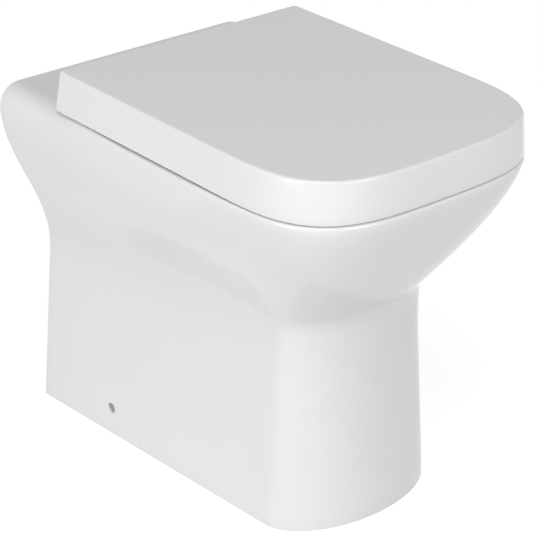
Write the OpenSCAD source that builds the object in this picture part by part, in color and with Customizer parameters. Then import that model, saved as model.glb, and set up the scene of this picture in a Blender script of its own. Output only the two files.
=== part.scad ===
// Back to wall toilet: a shrouded china pan with a soft-close seat and wrap-over lid.
// Millimetres. The origin is on the floor under the middle of the outline, +Z is up,
// the wall stands at +Y, the user stands at -Y, and X runs across the pan.

/* [Pan] */
// Depth of the pan from the wall to the front of the rim
pan_depth = 540; // [530:1:570]
// Height of the deck above the floor
deck_h = 415; // [412:1:430]
// Width of the pan at the wall
pan_w = 354; // [344:1:370]
// Width of the rim where its front curve starts
rim_w = 343; // [338:1:356]
// Length of the rim's front curve
rim_curve = 162; // [140:1:180]
// Squareness of the rim's front curve, 2 is an ellipse
rim_square = 3.5; // [2.8:0.1:4.5]
// Radius of the deck's edge at the wall
deck_edge_r = 26; // [12:1:30]
// Radius of the rim's edge at the front
rim_edge_r = 3.5; // [2:0.5:12]
// Thickness of the china
china_t = 10; // [8:0.5:11]

/* [Pedestal] */
// Width of the foot at the wall
foot_w_rear = 276; // [268:1:290]
// Width of the foot where its front curve starts
foot_w_front = 216; // [208:1:230]
// Distance that the foot stands back from the front of the rim
foot_setback = 86; // [76:1:94]
// Length of the foot's front curve
foot_curve = 61; // [44:1:70]
// Squareness of the foot's front curve, 2 is an ellipse
foot_square = 2; // [1.6:0.05:2.4]
// Inward lean of the pedestal's side at the wall, per millimetre of height
lean_rear = 0.09; // [0.06:0.005:0.1]
// Inward lean of the pedestal at the front, per millimetre of height
lean_front = 0.058; // [0.03:0.002:0.07]
// Height where the pedestal stops leaning in
lean_h = 200; // [160:1:203]
// Height where the flare starts at the wall
flare_h_rear = 205; // [200:1:225]
// Height where the flare starts at the front
flare_h_front = 250; // [240:1:262]
// Fullness of the front flare, 1 is a straight cone
flare_full = 1.38; // [1.1:0.02:1.6]
// Softness of the crease under the front flare, as a share of the flare's height
crease_soft = 0.07; // [0.03:0.01:0.15]
// Distance from the wall to the change of flare, at the height of the front crease
change_y = 233; // [200:1:260]
// Length over which the flare changes
change_len = 140; // [100:1:200]

/* [Bowl] */
// Width of the bowl's mouth
mouth_w = 244; // [230:1:250]
// Width of the rim in front of the mouth
mouth_front = 48; // [44:1:54]
// Distance from the wall to the rear of the mouth
mouth_rear = 200; // [196:1:206]
// Radius of the mouth's edge
mouth_edge_r = 9; // [5:0.5:11]
// Height of the bottom of the sump
sump_h = 124; // [120:1:128]
// Width of the sump
sump_w = 66; // [62:1:74]
// Length of the sump
sump_len = 84; // [78:1:96]
// Distance from the wall to the rear of the sump
sump_rear = 244; // [240:1:250]
// Radius of the trap's passage
trap_r = 26.5; // [25:0.5:27]
// Thickness of the china round the trap
trap_t = 8; // [7:0.5:9]
// Height of the middle of the passage at its lowest
dip_h = 152; // [151:1:154]
// Height of the middle of the passage over the weir
weir_h = 256; // [252:1:258]
// Width of the flush slot at the rear of the bowl
slot_w = 84; // [70:1:90]
// Height of the flush slot
slot_h = 26; // [18:1:30]

/* [Pipes] */
// Height of the outlet's middle
outlet_h = 180; // [176:1:184]
// Outer diameter of the outlet spigot
outlet_d = 102; // [100:1:106]
// Distance from the wall to the end of the spigot
outlet_back = 55; // [45:1:60]
// Length of the spigot that a connector grips
outlet_len = 40; // [34:1:42]
// Height of the flush inlet's middle
inlet_h = 335; // [333:1:338]
// Diameter of the flush inlet's bore
inlet_d = 55; // [50:0.5:56]
// Depth of the flush inlet's bore
inlet_len = 50; // [40:1:56]
// Distance from the wall to the mouth of the flush inlet
inlet_back = 65; // [55:1:70]

/* [Lid] */
// Length of the deck left open behind the lid
deck_len = 104; // [102:0.5:106]
// Gap between the deck and the lid's lower edge
lid_gap = 2.5; // [2.2:0.1:4]
// Height of the lid from its lower edge to its top
lid_h = 45.5; // [45:0.1:46]
// Thickness of the lid's skirt
skirt_t = 4.5; // [3.5:0.1:5]
// Thickness of the lid's top
lid_t = 5; // [4:0.1:5.5]
// Inward lean of the lid's sides from bottom to top
lid_lean = 4.2; // [2:0.1:5]
// Inward lean of the lid's front from bottom to top
lid_front_lean = 1; // [0.5:0.1:4]
// Radius of the lid's top edge
lid_edge_r = 3; // [1.5:0.1:4]
// Radius of the lower corner at the lid's rear end
lid_corner_r = 7; // [6:0.5:8]
// Radius of the lid's rear corners seen from above
lid_rear_r = 6; // [5:0.5:9]

/* [Seat] */
// Clearance between the seat and the lower edge of the lid's skirt
seat_side_gap = 6; // [5:0.5:8]
// Thickness of the seat
seat_t = 25; // [22:0.5:25.5]
// Height of the rubber buffers under the seat
buffer_h = 8.8; // [8.5:0.1:9.4]
// Air left between a buffer and what it rests on
rest_gap = 0.2; // [0.1:0.05:0.4]
// Width of the hole in the seat
seat_hole_w = 226; // [216:1:234]
// Width of the seat's front bar
seat_front = 56; // [52:1:62]
// Width of the seat's rear bar
seat_rear = 56; // [50:1:62]
// Distance from the hinge axis to the rear edge of the seat
seat_back = 34.5; // [33:0.5:38]
// Radius of the seat's upper edges
seat_edge_r = 8; // [5:0.5:9]
// Wall of the seat beside and above its hollow underside
seat_wall = 7; // [6:0.5:8]
// Diameter of the buffers
buffer_d = 18; // [15:0.5:19]
// Diameter of the stud that holds a buffer
buffer_stud_d = 5; // [4:0.5:6]
// Distance from the middle to the front buffers
buffer_front_x = 62; // [52:1:72]
// Distance from the front of the rim to the front buffers
buffer_front_y = 27; // [25:0.5:29]
// Distance from the seat's outer edge to the side buffers
buffer_side_in = 15; // [13:1:18]
// Distance from the wall to the side buffers
buffer_side_y = 250; // [220:5:280]

/* [Hinges] */
// Distance between the two fixing holes
hinge_pitch = 155; // [152:1:160]
// Distance from the wall to the fixing holes
hinge_hole_y = 152.5; // [151:0.5:154]
// Diameter of the fixing holes in the china
hinge_hole_d = 15; // [14:0.5:16]
// Distance of the hinge axis behind the fixing holes
axis_back = 35; // [34:0.5:36]
// Height of the hinge axis above the deck
axis_h = 31; // [30.5:0.1:31.3]
// Width of a hinge arm
arm_w = 20; // [18:0.5:20.5]
// Diameter of the arm's barrel and of the lugs
barrel_d = 19; // [17:0.5:19.5]
// Diameter of the hinge pins
pin_d = 8; // [6:0.1:9]
// Radial clearance where a pin turns in its bore
run_gap = 0.05; // [0.02:0.01:0.09]
// Outer diameter of the dampers and bushes
cartridge_d = 12; // [11:0.1:13]
// Length of a lug along the axis
lug_len = 26; // [24:0.5:28]
// Gap between a lug and the arm beside it
lug_gap = 0.5; // [0.3:0.1:0.8]
// Diameter of the round cover plate under an arm
plate_d = 46; // [42:1:47]
// Thickness of the cover plate
plate_t = 4; // [3:0.5:4.5]
// Diameter of the fixing stud
stud_d = 8; // [6:0.5:8.5]
// Length of the stud below the deck
stud_len = 50; // [48:1:60]
// Diameter of the rubber plug's bulge under the deck
bulge_d = 22; // [19:0.5:23]
// Length of the bulge
bulge_len = 24; // [20:1:26]

/* [Floor fixing] */
// Distance from the wall to the side fixing holes
side_hole_y = 124.5; // [115:0.5:150]
// Height of the side fixing holes
side_hole_h = 32; // [30:0.5:38]
// Diameter of the side fixing holes
side_hole_d = 12.5; // [12:0.5:16]
// Depth of the cap below the face of the china
cap_depth = 3; // [1:0.1:4]
// Thickness of the cap
cap_t = 1.5; // [1:0.1:2]
// Thickness of a bracket's steel
bracket_t = 3; // [2.5:0.5:4]
// Width of a bracket
bracket_w = 46; // [40:1:52]
// Height of a bracket
bracket_h = 58; // [54:1:66]
// Length of a bracket's foot
bracket_foot = 46; // [42:1:52]
// Distance from the face of the china to a bracket
bracket_in = 16; // [15.5:0.5:20]
// Diameter of the hole for the floor screw
floor_hole_d = 7; // [5:0.5:8]
// Diameter of the side screw
side_screw_d = 6; // [5:0.5:7]
// Length of the side screw under its head
side_screw_len = 38; // [34:1:42]

/* [Hidden] */
$fn = 64;

china_colour = "whitesmoke";
seat_colour = "white";
chrome_colour = "silver";
steel_colour = "lightslategray";
nylon_colour = "gainsboro";
rubber_colour = "dimgray";
cap_colour = "gray";

// An overrun that cuts clean through a face or joins two shapes of one piece.
over = 1;
// Radial clearance of pieces that don't turn in each other.
still_gap = 0.03;
loose_gap = 0.1;

wall_y = pan_depth / 2;
front_y = -pan_depth / 2;
rim_side_end = front_y + rim_curve;
foot_front = front_y + foot_setback;
foot_side_end = foot_front + foot_curve;

// Steps along a side, round a front curve, up the flare and round an edge, outside and inside.
side_steps = 9;
front_steps = 12;
flare_steps = 14;
edge_steps = 5;
hollow_side_steps = 5;
hollow_front_steps = 8;
hollow_rows = 6;

// Shares of the side, from the wall, where the deck's edge starts and stops narrowing.
edge_change_from = 0.15;
edge_change_to = 0.6;
// The least radius inside a hollow's upper edge.
hollow_edge_r = 2;

function mix(a, b, t) = a + (b - a) * t;
function clamp01(t) = min(max(t, 0), 1);
function smooth(t) = let (s = clamp01(t)) s * s * (3 - 2 * s);
// Reach of a superellipse with half-axes of 1 in direction a; n is its squareness.
function reach(a, n) = pow(pow(abs(cos(a)), n) + pow(abs(sin(a)), n), -1 / n);
// A ring from its left half, which runs from the wall to the middle of the front.
function both_sides(left) =
    concat(left, [for (i = [len(left) - 2:-1:0]) [-left[i].x, left[i].y, left[i].z]]);

function ring_middle(ring) =
    [for (c = [0:2]) (min([for (p = ring) p[c]]) + max([for (p = ring) p[c]])) / 2];

// A solid through rings that run anticlockwise seen from the last ring.
module loft(rings) {
    n = len(rings[0]);
    last = len(rings) - 1;
    points = concat([for (ring = rings, p = ring) p], [ring_middle(rings[0]), ring_middle(rings[last])]);
    low = (last + 1) * n;
    side = [for (k = [0:last - 1], j = [0:n - 1]) let (a = k * n + j, b = k * n + (j + 1) % n)
        each [[a, a + n, b + n], [a, b + n, b]]];
    bottom = [for (j = [0:n - 1]) [low, j, (j + 1) % n]];
    top = [for (j = [0:n - 1]) [low + 1, last * n + (j + 1) % n, last * n + j]];
    polyhedron(points = points, faces = concat(side, bottom, top), convexity = 10);
}

// ---- Skin of the pan ----
// q is a place round the skin: 0 at the wall, 1 where the front curve starts, 2 at its tip.

function open_front(z) =
    let (v = (z - flare_h_front) / (deck_h - rim_edge_r - flare_h_front),
        s = clamp01((v + sqrt(v * v + crease_soft * crease_soft)) / 2))
    1 - pow(1 - s, flare_full);
function open_rear(z) = smooth((z - flare_h_rear) / (deck_h - deck_edge_r - flare_h_rear));
// The change from the front's flare to the wall's slants forward as it rises.
function wall_share(y, z) =
    smooth((y - (wall_y - change_y) + max(z - flare_h_front, 0)) / change_len + 0.5);
function depth_share(y) = clamp01((y - foot_front) / (wall_y - foot_front));
function foot_half(y, z) =
    mix(foot_w_front, foot_w_rear, depth_share(y)) / 2
    - mix(lean_front, lean_rear, depth_share(y)) * min(z, lean_h);
function skin_half(y, z) =
    let (share = wall_share(y, z))
    mix(foot_half(y, z), mix(rim_w, pan_w, share) / 2, mix(open_front(z), open_rear(z), share));
function edge_r(q) =
    mix(deck_edge_r, rim_edge_r, smooth((q - edge_change_from) / (edge_change_to - edge_change_from)));
function skin_point(q, z, inset, rear_y) =
    let (open = open_front(z), n = mix(foot_square, rim_square, open), a = 90 * max(q - 1, 0),
        start = mix(foot_side_end, rim_side_end, open),
        tip = mix(foot_front + lean_front * min(z, lean_h), front_y, open) + inset,
        y = q < 1 ? mix(rear_y, start, q) : start - (start - tip) * reach(a, n) * sin(a))
    [-(skin_half(y, z) - inset) * reach(a, n) * cos(a), y, z];
function skin_places(along, round) =
    concat([for (i = [0:along - 1]) i / along], [for (i = [0:round]) 1 + i / round]);
// Rings of the skin, inset by t, from the height low up to the top or underside of the deck.
function skin_rings(t, low, rear_y, rows, places) =
    concat(
        [for (z = [low, lean_h / 2, lean_h]) both_sides([for (q = places) skin_point(q, z, t, rear_y)])],
        [for (k = [1:rows]) both_sides([for (q = places)
            let (r = max(edge_r(q) - t, hollow_edge_r))
            skin_point(q, mix(lean_h, deck_h - t - r, k / rows), t, rear_y)])],
        [for (k = [1:edge_steps]) both_sides([for (q = places)
            let (r = max(edge_r(q) - t, hollow_edge_r), a = 90 * k / edge_steps)
            let (p = skin_point(q, deck_h - t - r, t + r * (1 - cos(a)), rear_y))
            [p.x, p.y, deck_h - t - r * (1 - sin(a))]])]);

// ---- Bowl ----

mouth_tip = front_y + mouth_front;
mouth_back = wall_y - mouth_rear;
sump_back = wall_y - sump_rear;
sump_tip = sump_back - sump_len;
mouth_h = deck_h - mouth_edge_r;
bowl_steps = 32;
bowl_rows = 9;
// How the bowl widens and lengthens from the sump to the mouth.
widen_power = 1.6;
lengthen_power = 1.5;
sump_round = 12;
sump_square = 2.1;
mouth_square = 2.6;
// Share of the bowl's length that lies behind its widest place.
wide_share = 0.45;

function bowl_ring(z, grow) =
    let (u = clamp01((z - sump_h) / (mouth_h - sump_h)),
        half = mix(sump_w, mouth_w, pow(sin(90 * u), widen_power)) / 2 + grow,
        tip = mix(sump_tip, mouth_tip, pow(sin(90 * u), lengthen_power)) - grow,
        back = mix(sump_back, mouth_back, pow(u, lengthen_power)) + grow,
        n = mix(sump_square, mouth_square, u),
        wide = mix(back, tip, wide_share))
    [for (i = [0:bowl_steps - 1]) let (a = 360 * i / bowl_steps, r = reach(a, n))
        [half * r * cos(a), wide + (sin(a) > 0 ? back - wide : wide - tip) * r * sin(a), z]];
function at_height(ring, z) = [for (p = ring) [p.x, p.y, z]];

module bowl_cavity() {
    round_rows = [for (a = [0, 45])
        at_height(bowl_ring(sump_h, -sump_round * (1 - sin(a))), sump_h + sump_round * (1 - cos(a)))];
    rows = [for (k = [0:bowl_rows - 1]) bowl_ring(mix(sump_h + sump_round, mouth_h, k / (bowl_rows - 1)), 0)];
    edge = [for (k = [1:edge_steps]) let (a = 90 * k / edge_steps)
        at_height(bowl_ring(mouth_h, mouth_edge_r * (1 - cos(a))), mouth_h + mouth_edge_r * sin(a))];
    clear = [at_height(bowl_ring(mouth_h, mouth_edge_r), deck_h + over)];
    loft(concat(round_rows, rows, edge, clear));
}

// The bowl's outside runs up into the deck.
module bowl_outside() {
    top = deck_h - china_t / 2;
    base = [at_height(bowl_ring(sump_h, china_t / 3), sump_h - china_t)];
    rows = [for (k = [0:bowl_rows - 1]) bowl_ring(mix(sump_h, top, k / (bowl_rows - 1)), china_t)];
    loft(concat(base, rows));
}

// ---- Trap ----
// The passage leaves the sump, climbs to the weir, runs over it and drops to the outlet.
// Its middle line lies in the plane X = 0, through these places, [y, z].

outlet_r = outlet_d / 2 - china_t;
spigot_end = wall_y - outlet_back;
spigot_start = spigot_end - outlet_len;
// Distances in front of the spigot: the foot and head of the climb, and the drop.
climb_foot = 113;
climb_head = 95;
drop_front = 41;
trap_line = [
    [sump_back - sump_len / 2, dip_h],
    [spigot_start - climb_foot, dip_h],
    [spigot_start - climb_head, weir_h],
    [spigot_start - drop_front, weir_h],
    [spigot_start - drop_front, outlet_h]];
// The outlet's chamber in front of the spigot, which takes the drop, and the shoulder between them.
outlet_chamber = 77;
spigot_shoulder = 1.5;
// How much a ball at a bend is larger than the pipes that meet in it.
ball_extra = 0.6;

// The trap as straight pipes of radius r that meet in balls.
module trap_pipes(r) {
    for (k = [1:len(trap_line) - 1]) {
        from = trap_line[k - 1];
        step = trap_line[k] - from;
        translate([0, from.x, from.y]) rotate([-atan2(step.x, step.y), 0, 0]) cylinder(r = r, h = norm(step));
        translate([0, trap_line[k].x, trap_line[k].y]) sphere(r = r + ball_extra);
    }
}

// A round bar along Y from y0 to y1.
module bar_y(r, y0, y1, z) {
    translate([0, y1, z]) rotate([90, 0, 0]) cylinder(r = r, h = y1 - y0);
}

// A round bar along X from x0 to x1, at [y, z].
module bar_x(r, x0, x1, y, z) {
    translate([min(x0, x1), y, z]) rotate([0, 90, 0]) cylinder(r = r, h = abs(x1 - x0));
}

// A block from one corner to the opposite one.
module block(low, high) {
    translate(low) cube(high - low);
}

// ---- Flush way ----
// The inlet leads into a chamber behind the bowl, which opens into it through a slot.

inlet_mouth = wall_y - inlet_back;
inlet_end = inlet_mouth - inlet_len;
passage_r = 22;
inlet_wall = 9.5;
slot_below_deck = 35;
slot_margin = 6;
chamber_len = 28;
chamber_front = mouth_back + slot_margin;
chamber_back = chamber_front + chamber_len;
chamber_half = slot_w / 2 + slot_margin;
slot_top = deck_h - slot_below_deck;
slot_drop = 8;
chamber_top = slot_top + slot_drop;
chamber_low = inlet_h - passage_r + slot_margin;
// Depth that the chamber's wall runs up into the deck.
deck_bite = 3;
// How far the slot and the chamber's outside reach forward into the bowl's rear wall.
slot_reach = 30;
chamber_reach = 20;

module flush_outside() {
    bar_y(inlet_d / 2 + inlet_wall, chamber_front, inlet_end, inlet_h);
    block([-chamber_half - china_t, mouth_back - chamber_reach, chamber_low - china_t],
        [chamber_half + china_t, chamber_back + china_t, deck_h - china_t + deck_bite]);
}

module flush_cavity() {
    bar_y(passage_r, chamber_back - over, inlet_end + over, inlet_h);
    block([-chamber_half, chamber_front, chamber_low], [chamber_half, chamber_back, chamber_top]);
    block([-slot_w / 2, mouth_back - slot_reach, slot_top - slot_h],
        [slot_w / 2, chamber_front + over, slot_top]);
}

// The wide mouth of the inlet, which takes the flush pipe's cone.
module flush_collar() {
    color(china_colour) difference() {
        bar_y(inlet_d / 2 + inlet_wall, inlet_end, inlet_mouth, inlet_h);
        bar_y(inlet_d / 2, inlet_end - over, inlet_mouth + over, inlet_h);
    }
}

// ---- Places that several pieces share ----

hinge_y = wall_y - hinge_hole_y;
axis_y = hinge_y + axis_back;
axis_z = deck_h + axis_h;
side_y = wall_y - side_hole_y;
side_face = skin_half(side_y, side_hole_h);

module pan() {
    color(china_colour) difference() {
        union() {
            difference() {
                loft(skin_rings(0, 0, wall_y, flare_steps, skin_places(side_steps, front_steps)));
                loft(skin_rings(china_t, -over, wall_y + over, hollow_rows,
                    skin_places(hollow_side_steps, hollow_front_steps)));
            }
            bowl_outside();
            trap_pipes(trap_r + trap_t);
            bar_y(outlet_d / 2 - spigot_shoulder, spigot_start - outlet_chamber, spigot_start + over,
                outlet_h);
            bar_y(outlet_d / 2, spigot_start, spigot_end, outlet_h);
            flush_outside();
        }
        bowl_cavity();
        trap_pipes(trap_r);
        bar_y(outlet_r, spigot_start - outlet_chamber + china_t, spigot_end + over, outlet_h);
        flush_cavity();
        for (s = [-1, 1]) {
            translate([s * hinge_pitch / 2, hinge_y, deck_h - 2 * china_t])
                cylinder(d = hinge_hole_d, h = 3 * china_t);
            bar_x(side_hole_d / 2, s * (side_face - 2 * china_t), s * (side_face + china_t),
                side_y, side_hole_h);
        }
    }
}

// ---- Lid and seat ----

// A plan ring with a square-ish front curve from start to tip and rounded rear corners.
corner_steps = 4;
plan_side_steps = 3;
function plan_ring(half, rear, start, tip, n, corner, z) =
    both_sides(concat(
        [for (k = [0:corner_steps]) let (a = 90 * k / corner_steps)
            [-(half - corner + corner * sin(a)), rear - corner + corner * cos(a), z]],
        [for (k = [1:plan_side_steps]) [-half, mix(rear - corner, start, k / plan_side_steps), z]],
        [for (k = [1:front_steps]) let (a = 90 * k / front_steps)
            [-half * reach(a, n) * cos(a), start - (start - tip) * reach(a, n) * sin(a), z]]));

lid_rear = wall_y - deck_len;
lid_low = deck_h + lid_gap;
lid_top = lid_low + lid_h;
lid_under = lid_top - lid_t;
lug_in = hinge_pitch / 2 - arm_w / 2 - lug_gap;
lug_out = hinge_pitch / 2 + arm_w / 2 + lug_gap;
notch_room = 4;
notch_in = lug_in - lug_len - notch_room;
notch_out = hinge_pitch / 2 + plate_d / 2 + notch_room;

function lid_ring(z, inset) =
    let (up = (z - lid_low) / lid_h)
    plan_ring(rim_w / 2 - lid_lean * up - inset, lid_rear - inset, rim_side_end,
        front_y + lid_front_lean * up + inset, rim_square, max(lid_rear_r - inset, 1), z);

module lid_shell() {
    edge = [for (k = [1:edge_steps]) let (a = 90 * k / edge_steps)
        lid_ring(lid_top - lid_edge_r * (1 - sin(a)), lid_edge_r * (1 - cos(a)))];
    difference() {
        loft(concat([lid_ring(lid_low, 0), lid_ring(lid_top - lid_edge_r, 0)], edge));
        loft([lid_ring(lid_low - over, skirt_t), lid_ring(lid_under, skirt_t)]);
        // The lower corner at the rear end of each side.
        difference() {
            block([-rim_w, lid_rear - lid_corner_r, lid_low - over],
                [rim_w, lid_rear + over, lid_low + lid_corner_r]);
            bar_x(lid_corner_r, -rim_w - over, rim_w + over, lid_rear - lid_corner_r, lid_low + lid_corner_r);
        }
        // Room in the rear wall for the seat's lug and the hinge arm on each side.
        block_pair([notch_in, lid_rear - skirt_t - over, lid_low - over],
            [notch_out, lid_rear + over, lid_under]);
    }
}

lug_bore_r = cartridge_d / 2;
lug_web = 8;

// Two blocks, on the right and mirrored on the left, from x = low.x to high.x.
module block_pair(low, high) {
    block(low, high);
    mirror([1, 0, 0]) block(low, high);
}

module lid() {
    color(seat_colour) difference() {
        union() {
            lid_shell();
            for (s = [-1, 1]) bar_x(barrel_d / 2, s * lug_out, s * (lug_out + lug_len), axis_y, axis_z);
            block_pair([lug_out, axis_y - lug_web, axis_z],
                [lug_out + lug_len, axis_y + lug_web, lid_under + over]);
        }
        for (s = [-1, 1])
            bar_x(lug_bore_r, s * (lug_out - over), s * (lug_out + lug_len + over), axis_y, axis_z);
        for (p = lid_buffer_places)
            translate([p.x, p.y, lid_under - over]) cylinder(d = buffer_stud_d, h = over + lid_stud_h);
    }
}

seat_low = deck_h + rest_gap + buffer_h;
seat_top = seat_low + seat_t;
seat_half = rim_w / 2 - skirt_t - seat_side_gap;
seat_tip = front_y + skirt_t + seat_side_gap;
seat_end = axis_y - seat_back;
hole_tip = seat_tip + seat_front;
hole_back = seat_end - seat_rear;
hole_wide = mix(hole_back, hole_tip, wide_share);
seat_low_edge = 1.5;
seat_corner_r = 18;
notch_side_gap = 2;
notch_front_gap = 3;
notch_y = hinge_y - arm_w / 2 - notch_front_gap;
hole_steps = 36;

function seat_ring_at(z, inset) =
    plan_ring(seat_half - inset, seat_end - inset, rim_side_end, seat_tip + inset, rim_square,
        seat_corner_r - inset, z);
function hole_ring_at(z, grow) =
    [for (i = [0:hole_steps - 1]) let (a = 360 * i / hole_steps, r = reach(a, mouth_square))
        [(seat_hole_w / 2 + grow) * r * cos(a),
            hole_wide + ((sin(a) > 0 ? hole_back - hole_wide : hole_wide - hole_tip) + grow) * r * sin(a),
            z]];

lid_stud_h = 2.5;
seat_stud_h = 6;
boss_margin = 3;
boss_d = buffer_d + 2 * boss_margin;
side_buffer_y = wall_y - buffer_side_y;
seat_buffer_places = [for (s = [-1, 1])
    each [[s * buffer_front_x, front_y + buffer_front_y], [s * (seat_half - buffer_side_in), side_buffer_y]]];
// The lid's buffers rest on the middle of the seat's flat top.
lid_pad_x = (seat_hole_w / 2 + seat_half) / 2;
lid_pad_y = (seat_tip + hole_tip) / 2;
lid_buffer_places = [for (s = [-1, 1])
    each [[s * buffer_front_x, lid_pad_y], [s * lid_pad_x, side_buffer_y]]];

module seat_blank() {
    outer_edge = [for (k = [0:edge_steps]) let (a = 90 * k / edge_steps)
        seat_ring_at(seat_top - seat_edge_r * (1 - sin(a)), seat_edge_r * (1 - cos(a)))];
    hole_edge = [for (k = [0:edge_steps]) let (a = 90 * k / edge_steps)
        hole_ring_at(seat_top - seat_edge_r * (1 - sin(a)), seat_edge_r * (1 - cos(a)))];
    difference() {
        loft(concat([seat_ring_at(seat_low, seat_low_edge), seat_ring_at(seat_low + seat_low_edge, 0)],
            outer_edge));
        loft(concat([hole_ring_at(seat_low - over, seat_low_edge), hole_ring_at(seat_low, seat_low_edge),
            hole_ring_at(seat_low + seat_low_edge, 0)], hole_edge,
            [hole_ring_at(seat_top + over, seat_edge_r)]));
    }
}

// The hollow underside, which keeps a wall all round and a boss over each buffer.
module seat_hollow() {
    difference() {
        loft([for (z = [seat_low - over, seat_top - seat_wall])
            plan_ring(seat_half - seat_wall, notch_y - seat_wall, rim_side_end, seat_tip + seat_wall,
                rim_square, seat_corner_r, z)]);
        loft([for (z = [seat_low - 2 * over, seat_top - seat_wall + over]) hole_ring_at(z, seat_wall)]);
        for (p = seat_buffer_places)
            translate([p.x, p.y, seat_low - 2 * over]) cylinder(d = boss_d, h = seat_t);
    }
}

module seat_ring() {
    color(seat_colour) difference() {
        union() {
            difference() {
                seat_blank();
                seat_hollow();
                block_pair([hinge_pitch / 2 - arm_w / 2 - notch_side_gap, notch_y, seat_low - over],
                    [hinge_pitch / 2 + arm_w / 2 + notch_side_gap, seat_end + over, seat_top + over]);
            }
            for (s = [-1, 1]) bar_x(barrel_d / 2, s * lug_in, s * (lug_in - lug_len), axis_y, axis_z);
            block_pair([lug_in - lug_len, notch_y, axis_z - barrel_d / 2], [lug_in, axis_y, seat_top - over]);
        }
        for (s = [-1, 1])
            bar_x(lug_bore_r, s * (lug_in + over), s * (lug_in - lug_len - over), axis_y, axis_z);
        for (p = seat_buffer_places)
            translate([p.x, p.y, seat_low - over]) cylinder(d = buffer_stud_d, h = over + seat_stud_h);
    }
}

module buffer(height, stud_h) {
    cylinder(d = buffer_d, h = height);
    translate([0, 0, height - over])
        cylinder(d = buffer_stud_d - 2 * loose_gap, h = stud_h + over - loose_gap);
}

module seat_buffers() {
    color(rubber_colour) for (p = seat_buffer_places)
        translate([p.x, p.y, seat_low - buffer_h]) buffer(buffer_h, seat_stud_h);
}

module lid_buffers() {
    height = lid_under - seat_top - rest_gap;
    color(rubber_colour) for (p = lid_buffer_places)
        translate([p.x, p.y, lid_under - height]) buffer(height, lid_stud_h);
}

// ---- Hinges ----

bar_above = 4;
bar_below = 8.5;
stud_r = stud_d / 2;
collar_r = 7;
collar_t = 2;
spigot_r = 5;
spigot_t = 9;

// The cranked arm stands on the stud in front of the axis and reaches back to it.
module hinge_arm(s) {
    x = s * hinge_pitch / 2;
    plate_top = deck_h + plate_t;
    color(chrome_colour) difference() {
        union() {
            bar_x(barrel_d / 2, x - arm_w / 2, x + arm_w / 2, axis_y, axis_z);
            block([x - arm_w / 2, hinge_y, axis_z - bar_below], [x + arm_w / 2, axis_y, axis_z + bar_above]);
            translate([x, hinge_y, plate_top]) cylinder(d = arm_w, h = axis_z + bar_above - plate_top);
        }
        bar_x(pin_d / 2 + still_gap, x - arm_w / 2 - over, x + arm_w / 2 + over, axis_y, axis_z);
        translate([x, hinge_y, plate_top - over])
            cylinder(r = collar_r + loose_gap, h = over + collar_t + loose_gap);
        translate([x, hinge_y, plate_top])
            cylinder(r = spigot_r + loose_gap, h = collar_t + spigot_t + loose_gap);
    }
}

module hinge_arm_left() {
    hinge_arm(-1);
}

module hinge_arm_right() {
    hinge_arm(1);
}

module hinge_plates() {
    color(chrome_colour) for (s = [-1, 1]) translate([s * hinge_pitch / 2, hinge_y, deck_h]) difference() {
        cylinder(d = plate_d, h = plate_t);
        translate([0, 0, -over]) cylinder(r = stud_r + loose_gap, h = plate_t + 2 * over);
    }
}

module hinge_studs() {
    color(steel_colour) for (s = [-1, 1]) translate([s * hinge_pitch / 2, hinge_y, deck_h]) {
        translate([0, 0, -stud_len]) cylinder(r = stud_r, h = stud_len + plate_t + over);
        translate([0, 0, plate_t]) cylinder(r = collar_r, h = collar_t);
        translate([0, 0, plate_t + collar_t - over]) cylinder(r = spigot_r, h = spigot_t + over);
    }
}

bulge_chamfer = 2;
bulge_taper = 6;
// The rubber plug fills the hole and swells under the deck when the stud is tightened.
module expansion_plugs() {
    hole_r = hinge_hole_d / 2 - loose_gap;
    bulge_top = china_t + loose_gap;
    bulge_low = bulge_top + bulge_len;
    bore_r = stud_r + loose_gap;
    profile = [[bore_r, -loose_gap], [hole_r, -loose_gap], [hole_r, -bulge_top],
        [bulge_d / 2 - bulge_chamfer, -bulge_top], [bulge_d / 2, -bulge_top - bulge_chamfer],
        [bulge_d / 2, -bulge_low + bulge_taper], [hole_r, -bulge_low], [bore_r, -bulge_low]];
    color(rubber_colour) for (s = [-1, 1])
        translate([s * hinge_pitch / 2, hinge_y, deck_h]) rotate_extrude() polygon(profile);
}

nut_h = 9;
nut_taper = 1;
nut_clearance = 0.4;
// The nut passes through the hole in the deck.
module expansion_nuts() {
    low = china_t + 2 * loose_gap + bulge_len + nut_h;
    nut_r = hinge_hole_d / 2 - nut_clearance;
    color(steel_colour) for (s = [-1, 1])
        translate([s * hinge_pitch / 2, hinge_y, deck_h - low]) difference() {
            cylinder(r1 = nut_r - nut_taper, r2 = nut_r, h = nut_h);
            translate([0, 0, -over]) cylinder(r = stud_r + loose_gap, h = nut_h + 2 * over);
        }
}

// Pins reach from near the middle of the arm into the lug at side s, towards out (1) or in (-1).
pin_middle_gap = 0.3;
pin_reach = 20;
cartridge_gap = 0.5;

module hinge_pin(s, out) {
    x = s * hinge_pitch / 2;
    way = s * out;
    bar_x(pin_d / 2, x + way * pin_middle_gap, x + way * (arm_w / 2 + lug_gap + pin_reach), axis_y, axis_z);
}

module cartridge(s, out, blind) {
    way = s * out;
    x0 = s * hinge_pitch / 2 + way * (arm_w / 2 + lug_gap + cartridge_gap);
    x1 = x0 + way * (lug_len - 2 * cartridge_gap);
    difference() {
        bar_x(lug_bore_r - still_gap, x0, x1, axis_y, axis_z);
        bar_x(pin_d / 2 + run_gap, x0 - way * over,
            blind ? x0 + way * (pin_reach + cartridge_gap) : x1 + way * over, axis_y, axis_z);
    }
}

module seat_damper_body() {
    color(steel_colour) cartridge(-1, -1, true);
}

module seat_damper_spindle() {
    color(chrome_colour) hinge_pin(-1, -1);
}

module lid_damper_body() {
    color(steel_colour) cartridge(1, 1, true);
}

module lid_damper_spindle() {
    color(chrome_colour) hinge_pin(1, 1);
}

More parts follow.
